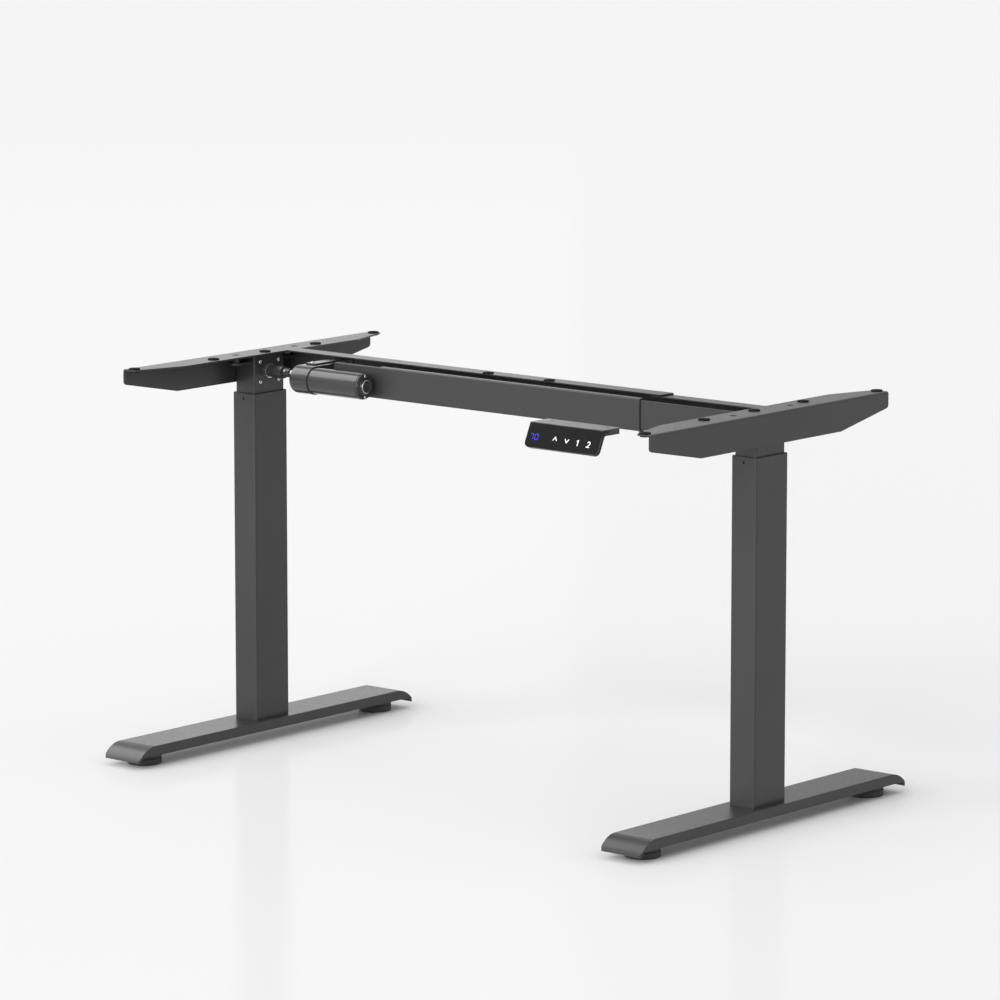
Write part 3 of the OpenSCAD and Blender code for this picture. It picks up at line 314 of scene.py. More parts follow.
# The numbers after the grain or the lines are the roughness and its swing, and then, except
# for metals, the bump's strength and its depth.
frame_paint = finish(
    "frame_powder_coat", "2f2e2f", "powder", {}, 0.33, 0.04, 0.3, 0.012 * MM,
    Specular_IOR_Level=0.42,
)
motor_enamel = finish(
    "motor_enamel", "302f31", "powder", {}, 0.2, 0.03, 0.2, 0.008 * MM, Specular_IOR_Level=0.5,
)
glide_plastic = moulded("glide_plastic", "161617", 1200.0, 0.5, 0.05, 0.3, 0.02 * MM)
bush_rubber = moulded(
    "bush_rubber", "0e0e0f", 1500.0, 0.8, 0.06, 0.4, 0.03 * MM, Specular_IOR_Level=0.15,
)
pad_rubber = moulded("pad_rubber", "2a2a2b", 1500.0, 0.55, 0.06, 0.4, 0.03 * MM)
case_plastic = moulded("handset_plastic", "2b2927", 2200.0, 0.3, 0.05, 0.3, 0.01 * MM)
die_casting = moulded("die_casting", "7f8084", 700.0, 0.46, 0.06, 0.6, 0.05 * MM, Metallic=1.0)
panel_gloss = moulded(
    "panel_gloss", "0a0a0b", 60.0, 0.14, 0.03, 0.1, 0.01 * MM, Specular_IOR_Level=0.3,
)
bright_zinc = metal("bright_zinc", "c4c6c9", DRAWN_X, 0.24, 0.07)
turned_zinc = metal("turned_zinc", "bfc1c4", TURNED_X, 0.26, 0.07)
black_zinc = metal(
    "black_zinc", "121213", DRAWN_X, 0.55, 0.07, Metallic=0.0, Specular_IOR_Level=0.2,
)
screw_steel = metal("rolled_steel", "a5a6a9", TURNED_Z, 0.3)
gear_steel = metal("gear_steel", "8d8e92", TURNED_X, 0.33)
bronze = metal("nut_bronze", "a98443", TURNED_Z, 0.35)
print(len(bpy.data.materials), "finishes made")

# %% [markdown]
# ## Finish the rigid pieces
# Most rigid pieces have the right shape already, so they need only a finish and softer
# edges: folded or sawn steel never keeps a razor edge once the powder is baked on. A Weld
# modifier joins the loose triangles, and a Bevel limited by angle rounds only the sharp
# edges, so curved walls stay as they are. A Weighted Normal modifier then lets the largest
# faces decide the shading, which keeps broad walls flat to the light. No point of the mesh
# itself is moved.


# %% Soften and paint
def soften(piece, width):
    """Rounds the sharp edges of a piece by a width in metres."""
    weld = piece.modifiers.new("join_faces", "WELD")
    weld.merge_threshold = 0.01 * MM
    bevel = piece.modifiers.new("round_edges", "BEVEL")
    bevel.width = width
    bevel.segments = 2
    bevel.limit_method = "ANGLE"
    bevel.angle_limit = math.radians(35)
    normals = piece.modifiers.new("flat_faces", "WEIGHTED_NORMAL")
    normals.mode = "FACE_AREA"
    normals.weight = 100


def paint(material, width, *names):
    for name in names:
        mesh = NODES[name].data
        mesh.materials.clear()
        mesh.materials.append(material)
        for face in mesh.polygons:
            face.use_smooth = True
        soften(NODES[name], width)


SOFT_EDGE = 0.5 * MM
CRISP_EDGE = 0.2 * MM
COLUMN_FINISHES = {
    frame_paint: ("foot", "outer_tube", "inner_tube", "ears", "bracket", "coupling"),
    glide_plastic: ("glide_bush", "lower_glide"),
    bright_zinc: ("foot_bolts", "nut_tube", "drive_bearing"),
    gear_steel: ("drive_pinion", "bevel_wheel"),
    die_casting: ("gear_block",),
    bronze: ("screw_nut",),
}
for side in SIDES:
    for material, names in COLUMN_FINISHES.items():
        width = SOFT_EDGE if material is frame_paint else CRISP_EDGE
        paint(material, width, *(f"{side}_{name}" for name in names))
paint(frame_paint, SOFT_EDGE, "beam_outer", "beam_inner")
paint(motor_enamel, SOFT_EDGE, "gearbox_case", "motor_can")
paint(motor_enamel, CRISP_EDGE, "motor_strap")
paint(bright_zinc, CRISP_EDGE, "beam_clamp_bolts", "hex_shaft", "hex_tube")
paint(gear_steel, CRISP_EDGE / 2, "motor_pinion", "output_gear")
paint(case_plastic, SOFT_EDGE, "handset_case")
paint(panel_gloss, CRISP_EDGE, "handset_panel", "key_up", "key_down", "key_one", "key_two")
print("rigid pieces finished")

# %% [markdown]
# ## Turned shapes
# Bushes, pads, caps and screw heads are all turned shapes: a profile swept once round an
# axis. A Screw modifier could do it, but a few lines of bmesh give even quads and join the
# points on the axis, so every turned piece below comes from one function.


# %% Lathe
TOUCHING = 0.001 * MM


def bridge(bm, ring, after, closed=True):
    """Adds a band of faces between two rows of points."""
    for i in range(len(ring) if closed else len(ring) - 1):
        n = (i + 1) % len(ring)
        bm.faces.new((ring[i], after[i], after[n], ring[n]))


def cleaned(bm):
    """The bmesh with coinciding points joined and its faces turned outwards."""
    bmesh.ops.remove_doubles(bm, verts=bm.verts, dist=TOUCHING)
    bmesh.ops.dissolve_degenerate(bm, edges=bm.edges, dist=TOUCHING)
    bmesh.ops.recalc_face_normals(bm, faces=bm.faces)
    return bm


def lathe(profile, segments, closed_ring=False):
    """A bmesh turned about Z from (radius, height) points, listed from the bottom up."""
    bm = bmesh.new()
    rows = []
    for k in range(segments):
        turn = 2 * math.pi * k / segments
        x, y = math.cos(turn), math.sin(turn)
        rows.append([bm.verts.new((r * x, r * y, z)) for r, z in profile])
    for k in range(segments):
        bridge(bm, rows[k], rows[(k + 1) % segments], closed_ring)
    return cleaned(bm)


def rounded_corner(r, z, radius, start, stop, steps=5):
    """Points of a fillet about (r, z), by angle in degrees from the outward direction."""
    angles = [math.radians(start + (stop - start) * i / steps) for i in range(steps + 1)]
    return [(r + radius * math.cos(a), z + radius * math.sin(a)) for a in angles]


print("lathe ready, points joined within", TOUCHING / MM, "mm")


# %% From a mesh to a piece
def shaded(name, mesh, crease):
    """A scene object for a mesh, shaded smooth up to the crease angle."""
    mesh.shade_smooth()
    mesh.set_sharp_from_angle(angle=math.radians(crease))
    return new_object(name, mesh)


def make_piece(name, bm, *materials, crease=40):
    """A scene object from a bmesh."""
    mesh = bpy.data.meshes.new(name)
    bm.to_mesh(mesh)
    bm.free()
    for material in materials:
        mesh.materials.append(material)
    return shaded(name, mesh, crease)


def applied(piece, name, crease=40):
    """A plain mesh object from what a piece's modifiers give, in place of the piece."""
    graph = bpy.context.evaluated_depsgraph_get()
    mesh = bpy.data.meshes.new_from_object(piece.evaluated_get(graph), depsgraph=graph)
    bpy.data.objects.remove(piece)
    return shaded(name, mesh, crease)


def merged(name, pieces):
    """One object from several plain ones, each face keeping its finish."""
    bm = bmesh.new()
    materials = []
    for piece in pieces:
        first = len(bm.faces)
        bm.from_mesh(piece.data)
        bm.faces.ensure_lookup_table()
        slots = []
        for material in piece.data.materials:
            if material not in materials:
                materials.append(material)
            slots.append(materials.index(material))
        for face in bm.faces[first:]:
            face.material_index = slots[face.material_index]
        bpy.data.objects.remove(piece)
    return make_piece(name, bm, *materials)


def stand_at(piece, node):
    """Moves a piece built upwards from the origin to the foot of a rigid piece's box."""
    foot = middle(node)
    foot.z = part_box(node)[0].z
    piece.data.transform(Matrix.Translation(foot))


def settle(piece, body, slot, *replaced):
    """Puts a finished piece on its body and hides the rigid pieces it replaces. slot is not used.
    """
    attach(piece, body)
    if replaced:
        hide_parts(*replaced)


print("helpers for pieces ready")

# %% [markdown]
# ## Cross-recess screws
# The frame is held together by pan-head and countersunk screws with a cross recess. One
# pattern screw of each kind is turned on the lathe and its recess is cut with a Boolean.
# Geometry Nodes then put a copy at every place: the places are the points of a small mesh,
# each with a turn attribute, and the tree instances the pattern, realizes the copies and
# sets the finish. Moving a screw means moving a point.


# %% Screw shapes
# Half length and half thickness of the cross's arms, in shares of its width.
RECESS_TOP, RECESS_FOOT = (0.5, 0.182), (0.175, 0.0975)
RECESS_RISE = 0.3 * MM
DOME_FROM = 0.35  # the share of a pan head's height below its dome


def recess_cutter(width, depth):
    """A tapered cross that cuts a driver recess, its top a little above z = 0."""
    bm = bmesh.new()
    rings = []
    for z, half, blade in ((RECESS_RISE, *RECESS_TOP), (-depth, *RECESS_FOOT)):
        arm = [(half, -blade), (half, blade), (blade, blade)]
        outline = list(arm)
        for _ in range(3):
            arm = [(-y, x) for x, y in arm]
            outline += arm
        rings.append([bm.verts.new((x * width, y * width, z)) for x, y in outline])
    top, bottom = rings
    bm.faces.new(top)
    bm.faces.new(bottom[::-1])
    bridge(bm, top, bottom)
    bmesh.ops.recalc_face_normals(bm, faces=bm.faces)
    return bm


def pan_profile(head_d, head_h, shank_d, length):
    r = head_d / 2
    dome = [
        (r * math.cos(a), head_h * (DOME_FROM + (1 - DOME_FROM) * math.sin(a)))
        for a in (math.radians(degrees) for degrees in range(0, 91, 15))
    ]
    tip = shank_d * 0.2
    return [
        (0, -length), (shank_d / 2 - tip, -length), (shank_d / 2, tip - length),
        (shank_d / 2, 0), (r, 0), *dome,
    ]


def countersunk_profile(head_d, shank_d, length):
    rim = 0.3 * MM
    cone = (head_d - shank_d) / 2
    return [
        (0, -length), (shank_d / 2 - rim, -length), (shank_d / 2, rim - length),
        (shank_d / 2, -cone - rim), (head_d / 2 - rim, -rim), (head_d / 2 - rim, -rim / 2),
        (head_d / 2 - 2 * rim, 0), (0, 0),
    ]


print("screw shapes ready")


# %% Pattern screws
def pattern_screw(name, profile, top, recess):
    """A turned screw with a cross recess of (width, depth) cut into its top."""
    body = make_piece(name, lathe(profile, segments=32))
    cutter = make_piece(name + "_recess", recess_cutter(*recess))
    cutter.data.transform(Matrix.Translation((0, 0, top)))
    cut = body.modifiers.new("recess", "BOOLEAN")
    cut.operation = "DIFFERENCE"
    cut.solver = "EXACT"
    cut.object = cutter
    result = applied(body, name)
    bpy.data.objects.remove(cutter)
    return result


# Heads are (diameter, height), recesses (width, depth).
BLOCK_HEAD, BLOCK_RECESS, BLOCK_SHANK_D = (7.2 * MM, 2.4 * MM), (4 * MM, 1.6 * MM), 4 * MM
CAP_HEAD, CAP_RECESS, CAP_SHANK_D = (5.4 * MM, 1.9 * MM), (3 * MM, 1.3 * MM), 3 * MM
SUNK_HEAD_D, SUNK_RECESS, SUNK_SHANK_D = 12.6 * MM, (6 * MM, 2.6 * MM), 6 * MM
SHANK_LENGTH = 9 * MM
sunk_low, sunk_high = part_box("left_bracket_screws")
block_screw = pattern_screw(
    "block_screw", pan_profile(*BLOCK_HEAD, BLOCK_SHANK_D, SHANK_LENGTH), BLOCK_HEAD[1],
    BLOCK_RECESS,
)
cap_screw = pattern_screw(
    "cap_screw", pan_profile(*CAP_HEAD, CAP_SHANK_D, SHANK_LENGTH), CAP_HEAD[1], CAP_RECESS,
)
sunk_screw = pattern_screw(
    "sunk_screw", countersunk_profile(SUNK_HEAD_D, SUNK_SHANK_D, sunk_high.z - sunk_low.z), 0,
    SUNK_RECESS,
)
PATTERNS = (block_screw, cap_screw, sunk_screw)
print("pattern screws with", [len(screw.data.polygons) for screw in PATTERNS], "faces")

# %% The tree that copies a pattern to its places
def copying_tree():
    tree, given, out = new_tree(
        "copies_at_places", "GeometryNodeTree",
        {
            "Places": ("NodeSocketGeometry", None), "Pattern": ("NodeSocketObject", None),
            "Scale": ("NodeSocketFloat", 1.0), "Finish": ("NodeSocketMaterial", None),
        },
        {"Copies": "NodeSocketGeometry"},
    )
    pattern = add(tree, "GeometryNodeObjectInfo", {"Object": given["Pattern"]})
    turn = add(tree, "GeometryNodeInputNamedAttribute", {"Name": "turn"}, data_type="FLOAT_VECTOR")
    copies = add(tree, "GeometryNodeInstanceOnPoints", {
        "Points": given["Places"], "Instance": pattern.outputs["Geometry"],
        "Rotation": turn.outputs["Attribute"], "Scale": given["Scale"],
    })
    real = add(tree, "GeometryNodeRealizeInstances", {"Geometry": copies.outputs[0]})
    coated = add(tree, "GeometryNodeSetMaterial", {
        "Geometry": real.outputs[0], "Material": given["Finish"],
    })
    tree.links.new(coated.outputs[0], out["Copies"])
    return tree


COPYING = copying_tree()


def run_tree(name, mesh, tree, crease, **values):
    """The plain piece that a Geometry Nodes tree makes of a mesh, with its inputs set by name."""
    holder = new_object(name + "_source", mesh)
    modifier = holder.modifiers.new("nodes", "NODES")
    modifier.node_group = tree
    for item in tree.interface.items_tree:
        if item.in_out == "INPUT" and item.name in values:
            modifier[item.identifier] = values[item.name]
    return applied(holder, name, crease)


def copies(name, pattern, places, material):
    """Copies of a pattern at places, each (position, direction of the pattern's Z axis, spin)."""
    mesh = bpy.data.meshes.new(name + "_places")
    mesh.from_pydata([place for place, _, _ in places], [], [])
    turn = mesh.attributes.new("turn", "FLOAT_VECTOR", "POINT")
    for i, (_, direction, spin) in enumerate(places):
        aim = Vector(direction).to_track_quat("Z", "Y").to_matrix()
        turn.data[i].vector = (aim @ Matrix.Rotation(math.radians(spin), 3, "Z")).to_euler()
    return run_tree(
        name, mesh, COPYING, crease=40, Pattern=pattern, Scale=1.0, Finish=material,
    )


print("tree", COPYING.name, "with", len(COPYING.nodes), "nodes")

# %% Place the gear block's screws
UP, ALONG_BEAM = (0, 0, 1), (1, 0, 0)
for side, s in SIDES.items():
    node = f"{side}_gear_block_screws"
    low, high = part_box(node)
    face_x = (high.x - BLOCK_HEAD[1]) if s < 0 else (low.x + BLOCK_HEAD[1])
    inset = BLOCK_HEAD[0] / 2
    spots = [
        (face_x, y, z)
        for y in (low.y + inset, high.y - inset) for z in (low.z + inset, high.z - inset)
    ]
    places = [(spot, (-s, 0, 0), 20 * i) for i, spot in enumerate(spots)]
    screws = copies(f"{side}_block_screws", block_screw, places, bright_zinc)
    settle(screws, f"{side}_head", "zinc_steel", node)
print("eight gear block screws")

# %% Place the motor's and the brackets' screws
CAP_SCREW_R = 18.5 * MM
STRAP_T = 2.5 * MM
STRAP_SCREW_IN = 6 * MM
STRAP_DROP = 11 * MM
strap_low, strap_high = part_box("motor_strap")
strap_x = middle("motor_strap").x
cap_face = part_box("motor_screws")[1].x - CAP_HEAD[1]
motor_y, drive_z = middle("motor_can").yz
strap_screws = copies("strap_screws", block_screw, [
    ((strap_x, strap_low.y + STRAP_SCREW_IN, strap_high.z), UP, 15),
    ((strap_x, strap_high.y - STRAP_T, strap_high.z - STRAP_T - STRAP_DROP), (0, -1, 0), 40),
], bright_zinc)
cap_screws = copies("cap_screws", cap_screw, [
    ((cap_face, motor_y, drive_z + k * CAP_SCREW_R), ALONG_BEAM, 30 * k) for k in (-1, 1)
], bright_zinc)
drive_screws = merged("drive_screws", [cap_screws, strap_screws])
settle(drive_screws, "left_head", "zinc_steel", "motor_screws")
for side in SIDES:
    node = f"{side}_bracket_screws"
    low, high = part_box(node)
    radius = (high.x - low.x) / 2
    places = [
        ((middle(node).x, y, high.z), UP, 35) for y in (low.y + radius, high.y - radius)
    ]
    sunk = copies(f"{side}_sunk_screws", sunk_screw, places, black_zinc)
    settle(sunk, f"{side}_head", "zinc_steel", node)
for pattern in PATTERNS:
    bpy.data.objects.remove(pattern)
print("drive and bracket screws placed")

# %% [markdown]
# ## Rubber bushes
# A moulded rubber bush is snapped into every screw hole of the brackets and the beam, so
# that the desktop rests on rubber and doesn't buzz. It is a turned ring with a lip above
# and below the sheet. The profile goes right round as a closed ring, so the hole is open,
# and the same copying tree puts one in each hole.


# %% Bush shapes
BUSH_HOLE_D, BUSH_TOP_D, BUSH_LOW_D = 6 * MM, 20 * MM, 17 * MM
BUSH_LIP, BUSH_FILLET = 2 * MM, 0.8 * MM
# Hole diameter and sheet thickness, of the brackets and of the beam.
BRACKET_HOLE = (14 * MM, 3 * MM)
BEAM_HOLE = (12 * MM, 2 * MM)


def bush_profile(neck_d, sheet):
    fillet = BUSH_FILLET
    hole_r, top_r, low_r = BUSH_HOLE_D / 2, BUSH_TOP_D / 2, BUSH_LOW_D / 2
    base = -sheet - BUSH_LIP
    return (
        [(hole_r + fillet / 2, base), (low_r - fillet, base)]
        + rounded_corner(low_r - fillet, base + fillet, fillet, -90, 0)
        + [(low_r, -sheet), (neck_d / 2, -sheet), (neck_d / 2, 0), (top_r, 0)]
        + rounded_corner(top_r - fillet, BUSH_LIP - fillet, fillet, 0, 90)
        + rounded_corner(hole_r + fillet, BUSH_LIP - fillet, fillet, 90, 180)
        + [(hole_r, base + fillet / 2)]
    )


def bush(name, hole):
    return make_piece(name, lathe(bush_profile(*hole), segments=40, closed_ring=True))


bracket_bush = bush("bracket_bush", BRACKET_HOLE)
beam_bush = bush("beam_bush", BEAM_HOLE)
print("two bushes with", len(bracket_bush.data.polygons), "faces each")

# %% Place the bushes
# Distances from the desk's middle to the holes, along X and Y.
COLUMN_BUSH = (550.4 * MM, 134 * MM)
END_BUSH = (570.5 * MM, 313.3 * MM)
BEAM_BUSH = (69 * MM, 47.8 * MM)
bush_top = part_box("right_grommets")[1].z - BUSH_LIP
for side, s in SIDES.items():
    spots = [(s * COLUMN_BUSH[0], k * COLUMN_BUSH[1]) for k in (-1, 0, 1)]
    spots += [(s * END_BUSH[0], k * END_BUSH[1]) for k in (-1, 1)]
    places = [((x, y, bush_top), UP, 0) for x, y in spots]
    bushes = [copies(f"{side}_column_bushes", bracket_bush, places, bush_rubber)]
    if side == "left":
        places = [((k * BEAM_BUSH[0], BEAM_BUSH[1], bush_top), UP, 0) for k in (-1, 1)]
        bushes.append(copies("beam_bushes", beam_bush, places, bush_rubber))
    settle(merged(f"{side}_bushes", bushes), f"{side}_head", "rubber", f"{side}_grommets")
for pattern in (bracket_bush, beam_bush):
    bpy.data.objects.remove(pattern)
print("twelve bushes, tops at", round(bush_top + BUSH_LIP, 4))

# %% [markdown]
# ## Levelling pads
# Each foot stands on two rubber pads on threaded studs, which level the desk on an uneven
# floor. The rubber is turned with a bevelled tread, a grip groove and a well for the nut.
# The stud's rolled thread is a ridge that climbs in a helix: a four-sided section is swept
# up and round, fades out at both ends and is closed there.


# %% Threads
FOOT_HALF, CREST_HALF = 0.42, 0.2  # of the ridge's section, in shares of its spacing
ROOT_IN = 0.1 * MM  # how far the ridge's foot lies inside the core


def thread(bm, radius, depth, pitch, bottom, top, starts=1, segments=24):
    """Adds a threaded rod to a bmesh: a plain core, and one closed ridge for each start."""
    core_r = radius - depth
    share = pitch / starts
    steps = int((top - bottom - share) / pitch * segments)
    for start in range(starts):
        rows = []
        for k in range(steps + 1):
            turn = 2 * math.pi * (k / segments + start / starts)
            fade = min(1, 2 * k / segments, 2 * (steps - k) / segments)
            height = bottom + share / 2 + k * pitch / segments
            foot, crest = core_r - ROOT_IN, core_r + depth * fade
            section = (
                (-FOOT_HALF, foot), (FOOT_HALF, foot), (CREST_HALF, crest), (-CREST_HALF, crest),
            )
            rows.append([
                bm.verts.new((r * math.cos(turn), r * math.sin(turn), height + along * share))
                for along, r in section
            ])
        for before, row in zip(rows, rows[1:]):
            bridge(bm, before, row)
        bm.faces.new(rows[0])
        bm.faces.new(rows[-1][::-1])
    bmesh.ops.recalc_face_normals(bm, faces=bm.faces)
    core = lathe([(0, bottom), (core_r, bottom), (core_r, top), (0, top)], segments)
    mesh = bpy.data.meshes.new("core")
    core.to_mesh(mesh)
    core.free()
    bm.from_mesh(mesh)
    bpy.data.meshes.remove(mesh)


print("thread maker ready")


# %% Pads
def pad_profile(radius, height, well_r, well_floor):
    tread = 2.5 * MM
    groove = 1 * MM
    lip = 1.2 * MM
    grip = height * 0.55
    return (
        [(0, 0), (radius - tread, 0)]
        + rounded_corner(radius - tread, tread, tread, -90, 0)
        + [(radius, grip - 1.5 * groove), (radius - groove, grip - groove / 2)]
        + [(radius - groove, grip + groove / 2), (radius, grip + 1.5 * groove)]
        + rounded_corner(radius - lip, height - lip, lip, 0, 90)
        + rounded_corner(well_r + lip, height - lip, lip, 90, 180)
        + [(well_r, well_floor + lip), (well_r - lip, well_floor), (0, well_floor)]
    )


PAD_H, PAD_FLOOR, WELL_R = 22 * MM, 12 * MM, 13 * MM
STUD_R, STUD_THREAD, STUD_PITCH = 4 * MM, 0.6 * MM, 1.25 * MM
for side in SIDES:
    for end in ("front", "rear"):
        node = f"{side}_{end}_pad"
        low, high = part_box(node)
        profile = pad_profile((high.x - low.x) / 2, PAD_H, WELL_R, PAD_FLOOR)
        rubber_part = make_piece(node + "_rubber", lathe(profile, segments=72), pad_rubber)
        stud = bmesh.new()
        thread(stud, STUD_R, STUD_THREAD, STUD_PITCH, PAD_FLOOR - MM, high.z - low.z)
        stud_part = make_piece(node + "_stud", stud, bright_zinc, crease=30)
        pad = merged(node + "_detailed", [rubber_part, stud_part])
        stand_at(pad, node)
        settle(pad, node, "rubber", node)
print("four pads")

# %% [markdown]
# ## Lead screws
# Inside each column a two-start screw with an eight millimetre lead turns in a fixed nut and
# lifts the head. It is right-hand in the left column and left-hand in the right one, because
# the drive shaft turns the two bevel wheels opposite ways. The same thread function sweeps
# it. A mirrored copy gives the other hand, and its faces are turned outwards again.

# %% Threaded lead screws
SCREW_R, SCREW_THREAD, SCREW_LEAD = 8 * MM, 1.5 * MM, 8 * MM
JOURNAL_R, JOURNAL_CHAMFER = 6 * MM, MM
BLOCK_CLEARANCE = 0.3 * MM
for side, s in SIDES.items():
    node = f"{side}_lead_screw"
    low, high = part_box(node)
    top = high.z - low.z
    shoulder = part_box(f"{side}_gear_block")[0].z - BLOCK_CLEARANCE - low.z
    rod = bmesh.new()
    thread(rod, SCREW_R, SCREW_THREAD, SCREW_LEAD, 0, shoulder, starts=2)
    rod_part = make_piece(f"{side}_thread", rod, screw_steel, crease=30)
    foot = shoulder - JOURNAL_CHAMFER
    journal = make_piece(f"{side}_journal", lathe([
        (0, foot), (JOURNAL_R, foot), (JOURNAL_R, top - JOURNAL_CHAMFER),
        (JOURNAL_R - JOURNAL_CHAMFER, top), (0, top),
    ], segments=48), screw_steel)
    screw = merged(f"{side}_threaded_screw", [rod_part, journal])
    if s > 0:
        screw.data.transform(Matrix.Scale(-1, 4, (1, 0, 0)))
        screw.data.flip_normals()
    stand_at(screw, node)
    settle(screw, f"{side}_screw", "gear_steel", node)
print("lead screws threaded")

# %% [markdown]
# ## Motor end cap and shaft set screws
# The motor's end cap is a dark pressing with a rolled rim and a bright boss over the rear
# bearing. The photograph shows the boss catching the light, so it is a separate turned ring
# with its own finish. Beside each gear block a set screw with a hexagon socket locks the
# hexagonal shaft in the coupling's collar.

# %% End cap
CAP_H, CAP_RIM, CAP_DISH = 4 * MM, 1 * MM, 1.2 * MM
BOSS_R, BOSS_WALL = 12.5 * MM, 3 * MM
BOSS_GAP = 0.02 * MM
cap_low, cap_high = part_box("motor_end_cap")
cap_r = (cap_high.z - cap_low.z) / 2
boss_h = cap_high.x - cap_low.x
hole_r = BOSS_R - BOSS_WALL
face_r = hole_r - BOSS_GAP
pressing = make_piece("cap_pressing", lathe([
    (0, 0), (cap_r, 0), *rounded_corner(cap_r - CAP_RIM, CAP_H - CAP_RIM, CAP_RIM, 0, 90),
    (cap_r - 2.2 * CAP_RIM, CAP_H), (cap_r - 3 * CAP_RIM, CAP_H - CAP_DISH / 2),
    (BOSS_R + CAP_RIM, CAP_H - CAP_DISH / 2), (BOSS_R + CAP_RIM / 2, CAP_H - CAP_DISH / 4),
    (0, CAP_H - CAP_DISH / 4),
], segments=72), frame_paint)
boss = make_piece("cap_boss", lathe([
    (hole_r, CAP_H - CAP_DISH), (BOSS_R - CAP_RIM / 2, CAP_H - CAP_DISH),
    (BOSS_R - CAP_RIM / 2, CAP_H),
    *rounded_corner(BOSS_R - 1.5 * CAP_RIM, boss_h - CAP_RIM, CAP_RIM, 0, 90), (hole_r, boss_h),
], segments=64, closed_ring=True), turned_zinc)
boss_face = make_piece("boss_face", lathe([
    (0, CAP_H - CAP_DISH), (face_r, CAP_H - CAP_DISH), (face_r, boss_h - CAP_RIM / 2),
    (0.4 * BOSS_R, boss_h - CAP_RIM / 2), (0.34 * BOSS_R, boss_h - CAP_RIM),
    (0, boss_h - CAP_RIM),
], segments=64), frame_paint)
cap = merged("end_cap", [pressing, boss, boss_face])
aim = Matrix.Rotation(math.radians(90), 4, "Y")
cap.data.transform(Matrix.Translation((cap_low.x, motor_y, drive_z)) @ aim)
settle(cap, "left_head", "zinc_steel", "motor_end_cap")
print("end cap", round(2 * cap_r * 1000, 1), "mm across")

# %% Set screws with a hexagon socket
GRUB_D, GRUB_LENGTH, GRUB_CHAMFER = 4 * MM, 2.6 * MM, 0.3 * MM
SOCKET_AF, SOCKET_DEPTH = 2 * MM, 1.6 * MM
GRUB_FROM_LEG = 65.25 * MM
GRUB_TOP = 8.2 * MM
GRUB_ANGLE = math.radians(60)


def hexagon_share(turn):
    """How far out a hexagon's side lies at an angle, as a share of its corner's distance."""
    sixth = math.pi / 3
    return math.cos(sixth / 2) / math.cos(turn % sixth - sixth / 2)


def set_screw_mesh(segments=24):
    """A grub screw, top at z = 0, with a six-sided socket bridged to its round rim."""
    bm = bmesh.new()
    socket_r = SOCKET_AF / math.sqrt(3)
    rings = []
    for r, z, six_sided in (
        (0, -GRUB_LENGTH, False), (GRUB_D / 2, -GRUB_LENGTH, False),
        (GRUB_D / 2, -GRUB_CHAMFER, False), (GRUB_D / 2 - GRUB_CHAMFER, 0, False),
        (socket_r, 0, True), (socket_r, -SOCKET_DEPTH, True), (0, -SOCKET_DEPTH, True),
    ):
        ring = []
        for k in range(segments):
            turn = 2 * math.pi * k / segments
            reach = r * hexagon_share(turn) if six_sided else r
            ring.append(bm.verts.new((reach * math.cos(turn), reach * math.sin(turn), z)))
        rings.append(ring)
    for lower, upper in zip(rings, rings[1:]):
        bridge(bm, lower, upper)
    return cleaned(bm)


grub_x = middle("right_outer_tube").x - GRUB_FROM_LEG
out = Vector((0, -math.sin(GRUB_ANGLE), math.cos(GRUB_ANGLE)))
aim = out.to_track_quat("Z", "X").to_matrix().to_4x4()
for side, s in SIDES.items():
    grub = make_piece(f"{side}_set_screw", set_screw_mesh(), bright_zinc)
    top = Vector((s * grub_x, 0, drive_z)) + out * GRUB_TOP
    grub.data.transform(Matrix.Translation(top) @ aim)
    settle(grub, f"{side}_shaft", "zinc_steel")
print("set screws at", round(grub_x * 1000, 1), "mm from the middle")

# %% [markdown]
# ## Weld beads
# The ears that carry the brackets are welded to the inner tubes. A bead of weld is a row of
# overlapping round drops that vary a little in size. Geometry Nodes space the drops along
# straight lines with a fixed seed, so one tree makes all four beads of a column from their
# start and end points.


# %% The bead tree
def bead_tree():
    tree, given, out = new_tree(
        "weld_bead", "GeometryNodeTree",
        {
            "Places": ("NodeSocketGeometry", None), "Spacing": ("NodeSocketFloat", 0.001),
            "Radius": ("NodeSocketFloat", 0.0012), "Seed": ("NodeSocketInt", 1),
            "Finish": ("NodeSocketMaterial", None),
        },
        {"Bead": "NodeSocketGeometry"},
    )
    line = add(tree, "GeometryNodeMeshToCurve", {"Mesh": given["Places"]})
    drops = add(tree, "GeometryNodeResampleCurve", {
        "Curve": line.outputs[0], "Length": given["Spacing"],
    }, mode="LENGTH")
    drop = add(tree, "GeometryNodeMeshIcoSphere", {"Radius": given["Radius"], "Subdivisions": 2})
    sizes = add(tree, "FunctionNodeRandomValue", {
        2: 0.85, 3: 1.1, "Seed": given["Seed"],
    }, data_type="FLOAT")
    row = add(tree, "GeometryNodeInstanceOnPoints", {
        "Points": drops.outputs[0], "Instance": drop.outputs["Mesh"], "Scale": sizes.outputs[1],
    })
    real = add(tree, "GeometryNodeRealizeInstances", {"Geometry": row.outputs[0]})
    coated = add(tree, "GeometryNodeSetMaterial", {
        "Geometry": real.outputs[0], "Material": given["Finish"],
    })
    tree.links.new(coated.outputs[0], out["Bead"])
    return tree


BEAD = bead_tree()
print("tree", BEAD.name, "with", len(BEAD.nodes), "nodes")

